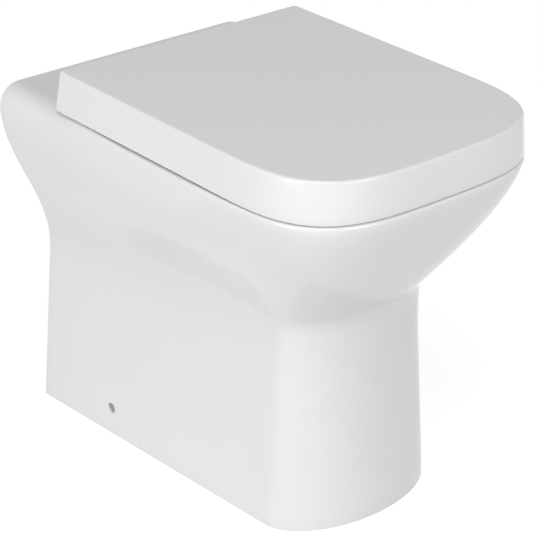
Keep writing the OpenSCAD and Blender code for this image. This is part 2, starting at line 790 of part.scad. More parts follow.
module seat_hinge_pin() {
    color(chrome_colour) hinge_pin(1, -1);
}

module seat_hinge_bush() {
    color(nylon_colour) cartridge(1, -1, false);
}

module lid_hinge_pin() {
    color(chrome_colour) hinge_pin(-1, 1);
}

module lid_hinge_bush() {
    color(nylon_colour) cartridge(-1, 1, false);
}

// ---- Floor fixing ----

bracket_x = side_face - bracket_in;
insert_hole_r = 8;
insert_flange_r = 11;
insert_len = 16;
head_r = 5;
head_h = 4;
sleeve_outer = side_face - cap_depth - cap_t;
head_x = sleeve_outer - head_h - 2 * loose_gap;
floor_hole_x = bracket_x - bracket_foot / 2;
web_share = 0.7;

module floor_bracket(s) {
    half = bracket_w / 2;
    color(steel_colour) mirror_to(s) difference() {
        union() {
            block([bracket_x - bracket_t, side_y - half, 0], [bracket_x, side_y + half, bracket_h]);
            block([bracket_x - bracket_foot, side_y - half, 0], [bracket_x, side_y + half, bracket_t]);
            for (y = [side_y - half, side_y + half - bracket_t])
                translate([bracket_x - bracket_t / 2, y + bracket_t, bracket_t / 2]) rotate([90, 0, 0])
                    linear_extrude(bracket_t)
                        polygon([[0, 0], [-bracket_foot / 2, 0], [0, bracket_h * web_share]]);
        }
        bar_x(insert_hole_r, bracket_x - bracket_t - over, bracket_x + over, side_y, side_hole_h);
        translate([floor_hole_x, side_y, -over]) cylinder(d = floor_hole_d, h = bracket_t + 2 * over);
    }
}

// The right-hand shape, or its mirror image on the left.
module mirror_to(s) {
    if (s > 0) children();
    else mirror([1, 0, 0]) children();
}

module floor_bracket_left() {
    floor_bracket(-1);
}

module floor_bracket_right() {
    floor_bracket(1);
}

module bracket_inserts() {
    inner = bracket_x - bracket_t - insert_len;
    color(nylon_colour) for (s = [-1, 1]) difference() {
        union() {
            bar_x(insert_hole_r - loose_gap, s * (bracket_x - bracket_t - over), s * bracket_x,
                side_y, side_hole_h);
            bar_x(insert_flange_r, s * inner, s * (bracket_x - bracket_t), side_y, side_hole_h);
        }
        bar_x(side_screw_d / 2 + still_gap, s * (inner - over), s * (bracket_x + over), side_y, side_hole_h);
    }
}

module side_sleeves() {
    color(nylon_colour) for (s = [-1, 1]) difference() {
        bar_x(side_hole_d / 2 - loose_gap, s * (bracket_x + loose_gap), s * sleeve_outer,
            side_y, side_hole_h);
        bar_x(side_screw_d / 2 + loose_gap, s * bracket_x, s * sleeve_outer, side_y, side_hole_h);
        bar_x(head_r + loose_gap, s * head_x, s * (sleeve_outer + over), side_y, side_hole_h);
    }
}

module side_screws() {
    color(steel_colour) for (s = [-1, 1]) {
        bar_x(head_r, s * (head_x + loose_gap), s * (head_x + loose_gap + head_h), side_y, side_hole_h);
        bar_x(side_screw_d / 2, s * (head_x - side_screw_len), s * (head_x + loose_gap + over),
            side_y, side_hole_h);
    }
}

module side_caps() {
    color(cap_colour) for (s = [-1, 1])
        bar_x(side_hole_d / 2 - loose_gap, s * sleeve_outer, s * (side_face - cap_depth),
            side_y, side_hole_h);
}

pan();
flush_collar();
seat_ring();
lid();
hinge_arm_left();
hinge_arm_right();
hinge_plates();
hinge_studs();
expansion_plugs();
expansion_nuts();
seat_damper_body();
seat_damper_spindle();
lid_damper_body();
lid_damper_spindle();
seat_hinge_pin();
seat_hinge_bush();
lid_hinge_pin();
lid_hinge_bush();
seat_buffers();
lid_buffers();
floor_bracket_left();
floor_bracket_right();
bracket_inserts();
side_sleeves();
side_screws();
side_caps();
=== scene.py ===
"""The looks of a back to wall toilet: china pan, seat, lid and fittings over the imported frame.

Lengths in this file are millimetres; a mesh is turned to metres as it is made. The origin is on
the floor under the middle of the outline, +Z is up, the wall is at +Y and the user at -Y.
"""

import logging
import math
from collections.abc import Iterator, Sequence
from contextlib import contextmanager
from dataclasses import dataclass
from enum import Enum

import bmesh
import bpy
import numpy as np
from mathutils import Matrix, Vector


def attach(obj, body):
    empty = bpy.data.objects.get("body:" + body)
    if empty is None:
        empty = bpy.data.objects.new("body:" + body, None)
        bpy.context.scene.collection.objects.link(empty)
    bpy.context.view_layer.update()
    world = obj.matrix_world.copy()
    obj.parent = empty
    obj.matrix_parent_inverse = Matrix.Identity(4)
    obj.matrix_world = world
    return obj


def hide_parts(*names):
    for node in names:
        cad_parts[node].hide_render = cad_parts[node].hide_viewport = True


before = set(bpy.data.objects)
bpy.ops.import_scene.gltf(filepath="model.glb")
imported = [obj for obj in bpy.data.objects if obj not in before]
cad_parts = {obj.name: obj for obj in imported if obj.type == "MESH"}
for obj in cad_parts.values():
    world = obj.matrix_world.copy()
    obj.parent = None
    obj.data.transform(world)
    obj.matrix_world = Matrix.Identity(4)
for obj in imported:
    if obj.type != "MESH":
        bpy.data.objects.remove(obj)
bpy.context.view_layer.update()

Array = np.ndarray
Number = Array | float
Pair = tuple[float, float]
Triple = tuple[float, float, float]
Piece = bpy.types.Object
Material = bpy.types.Material
Tree = bpy.types.NodeTree
Node = bpy.types.Node
Profile = Sequence[Pair]

log = logging.getLogger("toilet")
MM = 0.001
SIDES = (-1, 1)
# Points of a mesh that lie nearer than this are one point.
SAME = 0.002
# How far a joined solid reaches into the other, and how far a cutter runs past what it cuts.
LAP = 2.0
PAST = 1.0
# An edge sharper than CRISP, in degrees, stays crisp in the shading; one below FLAT is no edge.
CRISP = 32.0
FLAT = 0.5
# The least angle, in degrees, of the rims that get rounded.
RIM = 50.0
# How far each copy of a ring has shrunk to its middle. A short first step keeps a face flat.
ROUND_CAP = (0.0, 0.004, 0.5, 1.0)
FLAT_CAP = (0.0, 1.0)


# ---- Numbers and curves ----

def mix(start: Number, end: Number, share: Number) -> Array:
    """Goes in a straight line from start to end as share goes from 0 to 1."""
    return start + (end - start) * np.asarray(share, float)


def smooth(share: Number) -> Array:
    """An S-curve from 0 to 1: three squares less two cubes of the clamped share."""
    held = np.clip(share, 0.0, 1.0)
    return held * held * (3.0 - 2.0 * held)


def reach(turn: Array, square: Number) -> Array:
    """How far a superellipse of half-axes 1 reaches: (|cos|^square + |sin|^square)^(-1/square)."""
    return (np.abs(np.cos(turn)) ** square + np.abs(np.sin(turn)) ** square) ** (-1.0 / square)


def egg(turn: Array, half: Number, ends: Sequence[Number], wide: Number, square: Number,
        z: Number) -> Array:
    """Level rings: a superellipse, longer in front of its widest place than behind it.

    Args:
        turn: directions.
        half: half width.
        ends: the front and the rear.
        wide: the widest place.
        square: squareness; 2 is an ellipse.
        z: heights.

    Returns:
        Points, [rows, columns, 3].
    """
    far = reach(turn, square)
    long = np.where(np.sin(turn) > 0, ends[1] - wide, wide - ends[0])
    return stack(half * far * np.cos(turn), wide + long * far * np.sin(turn), z)


def egg_turns(ring: Array, half: Number, ends: Sequence[Number], wide: Number) -> Array:
    """The directions, as egg counts them, of the places of a ring round it."""
    ahead = ring[..., 1] - wide
    long = np.where(ahead > 0, ends[1] - wide, wide - ends[0])
    return np.arctan2(ahead / long, ring[..., 0] / half)


def stack(x: Number, y: Number, z: Number) -> Array:
    """Points from three coordinate arrays, which are stretched to one shape."""
    return np.stack(np.broadcast_arrays(np.asarray(x, float), y, z), axis=-1)


def both_sides(left: Array) -> Array:
    """Whole rings from their left halves, whose last column lies on the middle plane."""
    return np.concatenate([left, left[..., -2::-1, :] * (-1.0, 1.0, 1.0)], axis=-2)


def bend(start: float, end: float, count: int) -> Array:
    """A column of angles from start to end degrees, in radians."""
    return np.radians(np.linspace(start, end, count)[:, None])


def circle(count: int) -> Array:
    """A row of directions all round, in radians."""
    return np.linspace(0.0, 2.0 * np.pi, count, endpoint=False)[None]


def arc(middle: Pair, radius: float, start: float, end: float, steps: int = 6) -> Array:
    """Places on a circle in two coordinates, from start to end degrees."""
    turn = np.radians(np.linspace(start, end, steps + 1))
    x, y = middle[0] + radius * np.cos(turn), middle[1] + radius * np.sin(turn)
    return np.stack([x, y], axis=-1)


def across(side: int, span: Sequence[float]) -> Pair:
    """A span on one side of the pan, from its lower to its higher X."""
    return tuple(sorted(side * place for place in span))


# ---- Meshes ----

@contextmanager
def merged(mesh: bpy.types.Mesh) -> Iterator[bmesh.types.BMesh]:
    """Opens a mesh, merges points that are the same, and puts the changed mesh back."""
    shape = bmesh.new()
    shape.from_mesh(mesh)
    bmesh.ops.remove_doubles(shape, verts=shape.verts, dist=SAME * MM)
    yield shape
    shape.to_mesh(mesh)
    shape.free()


class Surface:
    """Points, faces and finish numbers of one piece, gathered as whole arrays."""

    def __init__(self, rings: Array | None = None, caps: Sequence[float] = ()) -> None:
        """Starts with nothing or with closed rings, which can have a cap at each end."""
        self.points: list[Array] = []
        self.faces: list[Array] = []
        self.finishes: list[Array] = []
        if rings is not None:
            self.add_rings(rings, caps)

    def add_grid(self, points: Array, closed: bool = False, finish: int = 0) -> None:
        """Adds quads over a grid: each joins a point to the next column and the next row.

        Args:
            points: [rows, columns, 3].
            closed: whether the last column joins the first.
            finish: the number of the material slot.
        """
        ids = np.arange(points[..., 0].size).reshape(points.shape[:2]) + sum(map(len, self.points))
        ids = np.concatenate([ids, ids[:, :1]], axis=1) if closed else ids
        quads = np.stack([ids[:-1, :-1], ids[:-1, 1:], ids[1:, 1:], ids[1:, :-1]], axis=-1)
        self.points.append(points.reshape(-1, 3))
        self.faces.append(quads.reshape(-1, 4))
        self.finishes.append(np.full(len(self.faces[-1]), finish))

    def add_cap(self, ring: Array, finish: int = 0, steps: Sequence[float] = ROUND_CAP) -> None:
        """Closes a ring: copies of it shrink to the middle of its box.

        Args:
            ring: [columns, 3].
            finish: the number of the material slot.
            steps: how far each copy has shrunk, from 0 to 1.
        """
        middle = (ring.min(axis=0) + ring.max(axis=0)) / 2
        shares = np.asarray(steps)[:, None, None]
        self.add_grid(mix(ring[None], middle[None, None], shares), True, finish)

    def add_rings(self, rings: Array, caps: Sequence[float] = ()) -> None:
        """Adds rings that are closed all round, with a cap of those steps, if any, at each end."""
        self.add_grid(rings, True)
        for ring in (rings[0], rings[-1]) if caps else ():
            self.add_cap(ring, steps=caps)

    def to_piece(self, name: str, finishes: Sequence[Material]) -> Piece:
        """Makes the object: seams and poles are merged and the faces turned outwards.

        Args:
            name: the piece's name.
            finishes: its materials, in slot order.

        Returns:
            The new object, at the origin.
        """
        mesh = bpy.data.meshes.new(name)
        mesh.from_pydata(np.concatenate(self.points) * MM, [], np.concatenate(self.faces).tolist())
        slots = np.concatenate(self.finishes).astype(np.int32)
        mesh.polygons.foreach_set("material_index", slots)
        with merged(mesh) as shape:
            bmesh.ops.recalc_face_normals(shape, faces=shape.faces)
            if shape.calc_volume(signed=True) < 0:
                bmesh.ops.reverse_faces(shape, faces=shape.faces)
        return to_scene(name, mesh, finishes)


def to_scene(name: str, data: bpy.types.ID, finishes: Sequence[Material] = ()) -> Piece:
    """Puts a mesh, a camera or a lamp into the scene, a mesh with finishes in slot order."""
    piece = bpy.data.objects.new(name, data)
    bpy.context.scene.collection.objects.link(piece)
    for finish in finishes:
        data.materials.append(finish)
    return piece


class Joining(Enum):
    """What a second solid does to the first."""

    ADD = "UNION"
    CUT = "DIFFERENCE"


ADD, CUT = Joining


def bake(piece: Piece) -> None:
    """Puts the piece's modifiers into its mesh."""
    graph = bpy.context.evaluated_depsgraph_get()
    made = bpy.data.meshes.new_from_object(piece.evaluated_get(graph))
    old = piece.data
    piece.modifiers.clear()
    piece.data = made
    made.name = piece.name
    bpy.data.meshes.remove(old)


def combine(piece: Piece, tool: Surface | Piece, way: Joining) -> None:
    """Adds a closed solid to a piece, or cuts it out, and removes the tool.

    Args:
        piece: the closed solid that changes.
        tool: the other one. A surface gets the piece's first finish.
        way: add or cut.
    """
    if isinstance(tool, Surface):
        tool = tool.to_piece("tool", piece.data.materials[:1])
    step = piece.modifiers.new(way.name, "BOOLEAN")
    step.operation, step.object = way.value, tool
    step.solver, step.material_mode = "MANIFOLD", "TRANSFER"
    bake(piece)
    if not piece.data.polygons:
        raise ValueError(f"{tool.name} left nothing of {piece.name}")
    bpy.data.objects.remove(tool)


def soften(piece: Piece, radius: float, angle: float) -> None:
    """Rounds every edge sharper than angle degrees by radius, as a mould or a glaze does."""
    step = piece.modifiers.new("rounded edges", "BEVEL")
    step.width, step.segments = radius * MM, 3
    step.limit_method, step.angle_limit = "ANGLE", math.radians(angle)
    step.use_clamp_overlap = True
    bake(piece)


def settle(piece: Piece, body: str, slot: str, nodes: Sequence[str]) -> None:
    """Shades a finished piece, sets it on its body and puts it in place of its CAD nodes.

    Args:
        piece: the piece.
        body: the CAD body that it moves with.
        slot: the record's material slot; not used.
        nodes: the CAD nodes that it stands for.
    """
    piece.data.shade_smooth()
    piece.data.set_sharp_from_angle(angle=math.radians(CRISP))
    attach(piece, body)
    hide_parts(*nodes)
    log.info("%s: %d faces, on %s", piece.name, len(piece.data.polygons), body)


def carried(outline: Array, ends: Sequence[float], axis: int) -> Array:
    """An outline, in the order of the other two axes, copied to both ends of its way along one."""
    return np.stack([np.insert(outline, axis, end, axis=1) for end in ends])


def round_box(wide: Sequence[float], high: Sequence[float], radius: float) -> Array:
    """A rectangle with round corners: a quarter circle about each corner's middle.

    Args:
        wide: its limits in the first coordinate.
        high: those in the second.
        radius: the corners' radius.

    Returns:
        Places round it, [columns, 2].
    """
    limits = np.array([wide, high])
    middle, half = limits.sum(axis=1) / 2, (limits[:, 1] - limits[:, 0]) / 2
    turn = np.radians(np.arange(0.0, 360.0, 9.0) + 4.5)
    way = np.stack([np.cos(turn), np.sin(turn)], axis=-1)
    return middle + np.sign(way) * (half - radius) + radius * way


def turned(profile: Profile, middle: Sequence[float], axis: int, columns: int = 64) -> Array:
    """A turned surface: each place of a profile goes round an axis.

    Args:
        profile: radius and place along the axis, [rows, 2].
        middle: a point of the axis.
        axis: 0, 1 or 2.
        columns: how many places go round.

    Returns:
        Places, [rows, columns, 3].
    """
    turn, profile = circle(columns), np.asarray(profile, float)
    radius, along = profile[:, :1], profile[:, 1:]
    flat = [radius * np.cos(turn), radius * np.sin(turn)]
    flat.insert(axis, along + 0.0 * turn)
    return np.stack(flat, axis=-1) + np.asarray(middle, float)


def rod(radius: float, start: float, end: float) -> Profile:
    """The profile of a plain round bar."""
    return [(0.0, start), (radius, start), (radius, end), (0.0, end)]


def domed_end(radius: float, start: float, edge: float) -> Profile:
    """The profile of a round bar's inner end: its edge is a quarter circle."""
    return [(0.0, start), *arc((radius - edge, start + edge), edge, -90.0, 0.0).tolist()]


def pipe_end(radius: float, end: float, edge: float = 3.0) -> Profile:
    """The profile of a pipe's outer end: its edge is a quarter circle."""
    corner = arc((radius - edge, end - edge), edge, 0.0, 90.0)
    return [(radius, end - edge), *corner.tolist(), (0.0, end)]


def flared_end(radius: float, end: float, chamfer: float = 2.0, past: float = 4.0) -> Profile:
    """The profile of a cutter's outer end: it opens by a chamfer and runs past the pipe's end."""
    wide = radius + chamfer
    return [(radius, end - chamfer), (wide, end), (wide, end + past), (0.0, end + past)]


# ---- Finishes ----

def linear(colour: str) -> tuple[float, float, float, float]:
    """An sRGB hex value as linear light, with alpha 1."""
    parts = np.array([int(colour[k:k + 2], 16) for k in (0, 2, 4)]) / 255.0
    light = np.where(parts <= 0.04045, parts / 12.92, ((parts + 0.055) / 1.055) ** 2.4)
    return (*light.tolist(), 1.0)


def new_tree(owner: Material | bpy.types.World) -> Tree:
    """Gives a material or a world an empty node tree."""
    owner.use_nodes = True
    owner.node_tree.nodes.clear()
    return owner.node_tree


def add_node(tree: Tree, kind: str, values: dict | None = None, links: dict | None = None,
             **options: str) -> Node:
    """Adds a node to a tree.

    Args:
        tree: the tree.
        kind: the node's type, less its prefix.
        values: socket values by name or number.
        links: (node, output) by input name or number.
        options: the node's settings.

    Returns:
        The node.
    """
    node = tree.nodes.new("ShaderNode" + kind)
    for name, value in options.items():
        setattr(node, name, value)
    for name, value in (values or {}).items():
        node.inputs[name].default_value = value
    for name, (source, output) in (links or {}).items():
        tree.links.new(source.outputs[output], node.inputs[name])
    return node


class Relief(Enum):
    """The fine pattern that a way of making leaves."""

    WAVES = "smooth shallow waves of a flowed glaze or a moulded skin"
    GRAIN = "even grain of fired clay or moulded rubber"
    TURNED = "fine rings of turning along X"
    SPANGLE = "flat cells of zinc crystals"


@dataclass(frozen=True)
class Finish:
    """A real material and how its surface was made. Pattern sizes are millimetres."""

    name: str
    colour: str
    tint: str
    tint_size: float
    rough: Pair
    relief: Relief
    size: float
    height: float
    ior: float = 1.5
    metal: bool = False

    def pattern(self, tree: Tree, place: Node) -> tuple[Node, str]:
        """Adds the relief's height field and returns its node and output."""
        scale = 1.0 / (self.size * MM)
        where = {"Vector": (place, "Object")}
        if self.relief is Relief.SPANGLE:
            return add_node(tree, "TexVoronoi", {"Scale": scale}, where), "Color"
        if self.relief is Relief.TURNED:
            # At scale 1 the wave texture repeats every 2 pi / 20 of a unit.
            values = {"Scale": scale / 20.0 * 2.0 * np.pi, "Distortion": 0.4}
            return add_node(tree, "TexWave", values, where, bands_direction="X"), "Fac"
        detail = 4.0 if self.relief is Relief.GRAIN else 1.0
        values = {"Scale": scale, "Detail": detail}
        return add_node(tree, "TexNoise", values, where), "Fac"

    def material(self) -> Material:
        """Makes the material: a faint change of tone and of roughness, and the relief as a bump."""
        made = bpy.data.materials.new(self.name)
        tree = new_tree(made)
        place = add_node(tree, "TexCoord")
        cloud = add_node(tree, "TexNoise",
                         {"Scale": 1.0 / (self.tint_size * MM), "Detail": 3.0},
                         {"Vector": (place, "Object")})
        tone = add_node(tree, "Mix", {6: linear(self.colour), 7: linear(self.tint)},
                        {0: (cloud, "Fac")}, data_type="RGBA")
        low, high = self.rough
        rough = add_node(tree, "MapRange",
                         {"From Min": 0.3, "From Max": 0.7, "To Min": low, "To Max": high},
                         {"Value": (cloud, "Fac")})
        bump = add_node(tree, "Bump", {"Strength": 1.0, "Distance": self.height * MM},
                        {"Height": self.pattern(tree, place)})
        shader = add_node(tree, "BsdfPrincipled",
                          {"Metallic": 1.0} if self.metal else {"IOR": self.ior},
                          {"Base Color": (tone, 2), "Roughness": (rough, "Result"),
                           "Normal": (bump, "Normal")})
        add_node(tree, "OutputMaterial", {}, {"Surface": (shader, "BSDF")})
        return made


# Vitreous china under a tin-white glaze, fired: a deep wet gloss with very shallow, broad waves.
GLAZE = Finish("vitreous_china_glaze", "F1F1EF", "EEEEEC", 90.0, (0.05, 0.08),
               Relief.WAVES, 16.0, 0.02, 1.52)
# The same body where no glaze was sprayed: matt, chalky and a little warmer.
BISCUIT = Finish("fired_china_biscuit", "E6E2DA", "DDD8CE", 40.0, (0.7, 0.85),
                 Relief.GRAIN, 1.6, 0.06)
# Urea resin pressed in a polished mould: hard gloss, whiter than the china, nearly no waves.
UREA = Finish("moulded_urea_resin", "F1F1F0", "EEEEED", 120.0, (0.09, 0.13),
              Relief.WAVES, 28.0, 0.015, 1.54)
# Chrome plate over polished zinc: a mirror with the faintest haze.
CHROME = Finish("polished_chrome_plate", "D6D8DA", "CFD2D5", 30.0, (0.05, 0.1),
                Relief.WAVES, 9.0, 0.004, metal=True)
# Turned stainless steel: fine rings that spread the highlight.
STEEL = Finish("turned_stainless_steel", "B9BBBD", "AEB1B4", 12.0, (0.25, 0.38),
               Relief.TURNED, 0.8, 0.01, metal=True)
# Bent sheet steel, bright zinc plated: soft grey crystals with a cool tint.
ZINC = Finish("bright_zinc_plate", "B7BCC0", "C6C9C4", 9.0, (0.3, 0.45),
              Relief.SPANGLE, 5.0, 0.006, metal=True)
# Moulded EPDM rubber: dark, matt, fine grain.
RUBBER = Finish("moulded_epdm_rubber", "3A3A3A", "444443", 10.0, (0.62, 0.78),
                Relief.GRAIN, 0.7, 0.02, 1.52)
# Natural nylon, moulded: milky, satin.
NYLON = Finish("moulded_natural_nylon", "E3E0D5", "D9D6CB", 14.0, (0.38, 0.5),
               Relief.WAVES, 4.0, 0.01, 1.53)
# ABS snap cap, moulded, satin gloss. Its mid grey is painted shade: a pale cap darkened to stand
# for the shadow in the recess of the side hole.
SHADE_GREY_CAP_ABS = Finish("moulded_abs_painted_shade", "979A9A", "8F9292", 10.0, (0.28, 0.36),
                 Relief.GRAIN, 0.9, 0.006, 1.54)


# ---- The china ----

@dataclass(frozen=True)
class Skin:
    """The outside of the pan: a leaning foot that flares out to the rim.

    A place round the skin is q: 0 at the wall, 1 where the front curve starts, 2 at its tip.
    Pairs run from the front to the wall. edge_change is where the edge's radius starts to change
    and over what length, in q. rows counts those of the foot, the flare and the deck's edge,
    columns those of a side and of half the front curve.
    """

    wall_y: float = 270.0
    deck_h: float = 415.0
    width: float = 354.0
    rim_w: float = 343.0
    rim_curve: float = 162.0
    rim_square: float = 3.5
    deck_edge_r: float = 26.0
    rim_edge_r: float = 3.5
    least_edge_r: float = 2.0
    edge_change: Pair = (0.15, 0.45)
    foot_w: Pair = (216.0, 276.0)
    foot_front: float = -184.0
    foot_curve: float = 61.0
    foot_square: float = 2.0
    lean: Pair = (0.058, 0.09)
    lean_h: float = 200.0
    lean_soft: float = 24.0
    flare_rear: float = 205.0
    flare_front: float = 250.0
    flare_full: float = 1.38
    crease_soft: float = 0.045
    change_y: float = 233.0
    change_len: float = 140.0
    rows: tuple[int, int, int] = (14, 54, 9)
    columns: tuple[int, int] = (32, 40)

    def risen(self, z: Array) -> Array:
        """Height that counts for the lean: z below lean_h, then no more, a parabola between."""
        past = np.clip(z - self.lean_h + self.lean_soft, 0.0, 2 * self.lean_soft)
        return np.minimum(z, self.lean_h + self.lean_soft) - past * past / (4 * self.lean_soft)

    def opening(self, z: Array) -> Array:
        """How far the front has flared, 0 to 1: a softened ramp, bent by flare_full."""
        ramp = (z - self.flare_front) / (self.deck_h - self.rim_edge_r - self.flare_front)
        soft = np.sqrt(ramp * ramp + self.crease_soft ** 2)
        return 1.0 - (1.0 - np.clip((ramp + soft) / 2, 0.0, 1.0)) ** self.flare_full

    def half(self, y: Array, z: Array) -> Array:
        """Half width: foot to rim by the front's or the rear's flare, blended on a forward slant.

        Args:
            y: places along the pan.
            z: heights.

        Returns:
            Half of the width there.
        """
        deep = np.clip((y - self.foot_front) / (self.wall_y - self.foot_front), 0.0, 1.0)
        foot = mix(*self.foot_w, deep) / 2 - mix(*self.lean, deep) * self.risen(z)
        slant = y - (self.wall_y - self.change_y) + np.maximum(z - self.flare_front, 0.0)
        rear = smooth(slant / self.change_len + 0.5)
        rise = smooth((z - self.flare_rear) / (self.deck_h - self.deck_edge_r - self.flare_rear))
        return mix(foot, mix(self.rim_w, self.width, rear) / 2, mix(self.opening(z), rise, rear))

    def edge(self, q: Array) -> Array:
        """Radius of the deck's edge, which tightens from the wall to the front."""
        start, length = self.edge_change
        return mix(self.deck_edge_r, self.rim_edge_r, smooth((q - start) / length))

    def places(self, q: Array, z: Array, inset: Number) -> Array:
        """Points of the left side: straight to the front curve, then a superellipse to the tip.

        Args:
            q: places round the skin.
            z: heights.
            inset: distance inside the skin.

        Returns:
            Points, [rows, columns, 3].
        """
        z, q = np.broadcast_arrays(z, q)
        opening = self.opening(z)
        square = mix(self.foot_square, self.rim_square, opening)
        turn = np.radians(90.0) * np.maximum(q - 1.0, 0.0)
        start = mix(self.foot_front + self.foot_curve, self.rim_curve - self.wall_y, opening)
        tip = mix(self.foot_front + self.lean[0] * self.risen(z), -self.wall_y, opening) + inset
        far = reach(turn, square)
        ahead = start - (start - tip) * far * np.sin(turn)
        y = np.where(q < 1.0, mix(self.wall_y, start, q), ahead)
        return stack(-(self.half(y, z) - inset) * far * np.cos(turn), y, z)

    def sheet(self, inset: float) -> Array:
        """The whole skin from the floor to the deck, whose edge is a quarter circle.

        Args:
            inset: distance inside the skin.

        Returns:
            Points, [rows, columns, 3], from the wall on the left to the wall on the right.
        """
        along, around = self.columns
        q = np.concatenate([np.arange(along) / along, 1.0 + np.arange(around + 1) / around])[None]
        r = np.maximum(self.edge(q) - inset, self.least_edge_r)
        top = self.deck_h - inset
        foot, flare, edge = self.rows
        low = np.linspace(0.0, self.lean_h, foot + 1)[:-1, None]
        high = mix(self.lean_h, top - r, np.linspace(0.0, 1.0, flare)[:, None])
        turn = bend(0.0, 90.0, edge + 1)[1:]
        over = self.places(q, top - r, inset + r * (1.0 - np.cos(turn)))
        over[..., 2] = top - r * (1.0 - np.sin(turn))
        sides = self.places(q, low, inset), self.places(q, high, inset)
        return both_sides(np.concatenate([*sides, over]))


@dataclass(frozen=True)
class Bowl:
    """The inside of the bowl, from the sump up to the mouth.

    mouth and sump are the front and the rear, power how the width, the front and the rear grow.
    """

    mouth_w: float = 244.0
    mouth: Pair = (-222.0, 70.0)
    sump_w: float = 66.0
    sump: Pair = (-58.0, 26.0)
    low: float = 124.0
    high: float = 406.0
    edge_r: float = 9.0
    sump_r: float = 12.0
    square: Pair = (2.1, 2.6)
    wide_share: float = 0.45
    power: Triple = (1.6, 1.5, 1.5)

    def outline(self, z: Number, grow: Number) -> tuple:
        """The outline at a height: width and front grow with powers of a sine, the rear with one.

        Args:
            z: height.
            grow: distance outside the bowl.

        Returns:
            Half width, both ends, widest place and squareness, as egg takes them.
        """
        up = np.clip((z - self.low) / (self.high - self.low), 0.0, 1.0)
        swell = np.sin(np.radians(90.0) * up)
        half = mix(self.sump_w, self.mouth_w, swell ** self.power[0]) / 2 + grow
        tip = mix(self.sump[0], self.mouth[0], swell ** self.power[1]) - grow
        rear = mix(self.sump[1], self.mouth[1], up ** self.power[2]) + grow
        return half, (tip, rear), mix(rear, tip, self.wide_share), mix(*self.square, up)

    def turns(self, ring: Array) -> Array:
        """The bowl's own direction of each place of a ring round its mouth, in radians."""
        return egg_turns(ring, *self.outline(self.high, 0.0)[:3])

    def rings(self, turn: Array, z: Number, grow: Number, level: Number) -> Array:
        """Rings at a level, grown from the bowl's outline at height z."""
        return egg(turn, *self.outline(z, grow), level)

    def inside(self, turn: Array) -> Array:
        """The glazed inside from the deck down: the mouth's edge, the wall and the sump."""
        up = bend(90.0, 0.0, 9)
        mouth = self.rings(turn, self.high, self.edge_r * (1.0 - np.cos(up)),
                           self.high + self.edge_r * np.sin(up))
        z = np.linspace(self.high, self.low + self.sump_r, 46)[1:, None]
        up = bend(75.0, 0.0, 6)
        floor = self.rings(turn, self.low, -self.sump_r * (1.0 - np.sin(up)),
                           self.low + self.sump_r * (1.0 - np.cos(up)))
        return np.concatenate([mouth, self.rings(turn, z, 0.0, z), floor])

    def outside(self, turn: Array, top: float, grow: float, flare: float) -> Array:
        """A sheet outside the bowl, from a height down to below the sump.

        Args:
            turn: directions.
            top: the height of its first ring.
            grow: distance outside the bowl.
            flare: radius of the flare at the top.

        Returns:
            Points, [rows, columns, 3].
        """
        up = bend(90.0, 0.0, 7)
        neck = self.rings(turn, top - flare, grow + flare * (1.0 - np.cos(up)),
                          top - flare + flare * np.sin(up))
        z = np.linspace(top - flare, self.low, 34)[1:, None]
        floor = self.rings(turn, self.low, grow / 3, np.array([[self.low - grow]]))
        return np.concatenate([neck, self.rings(turn, z, grow, z), floor])


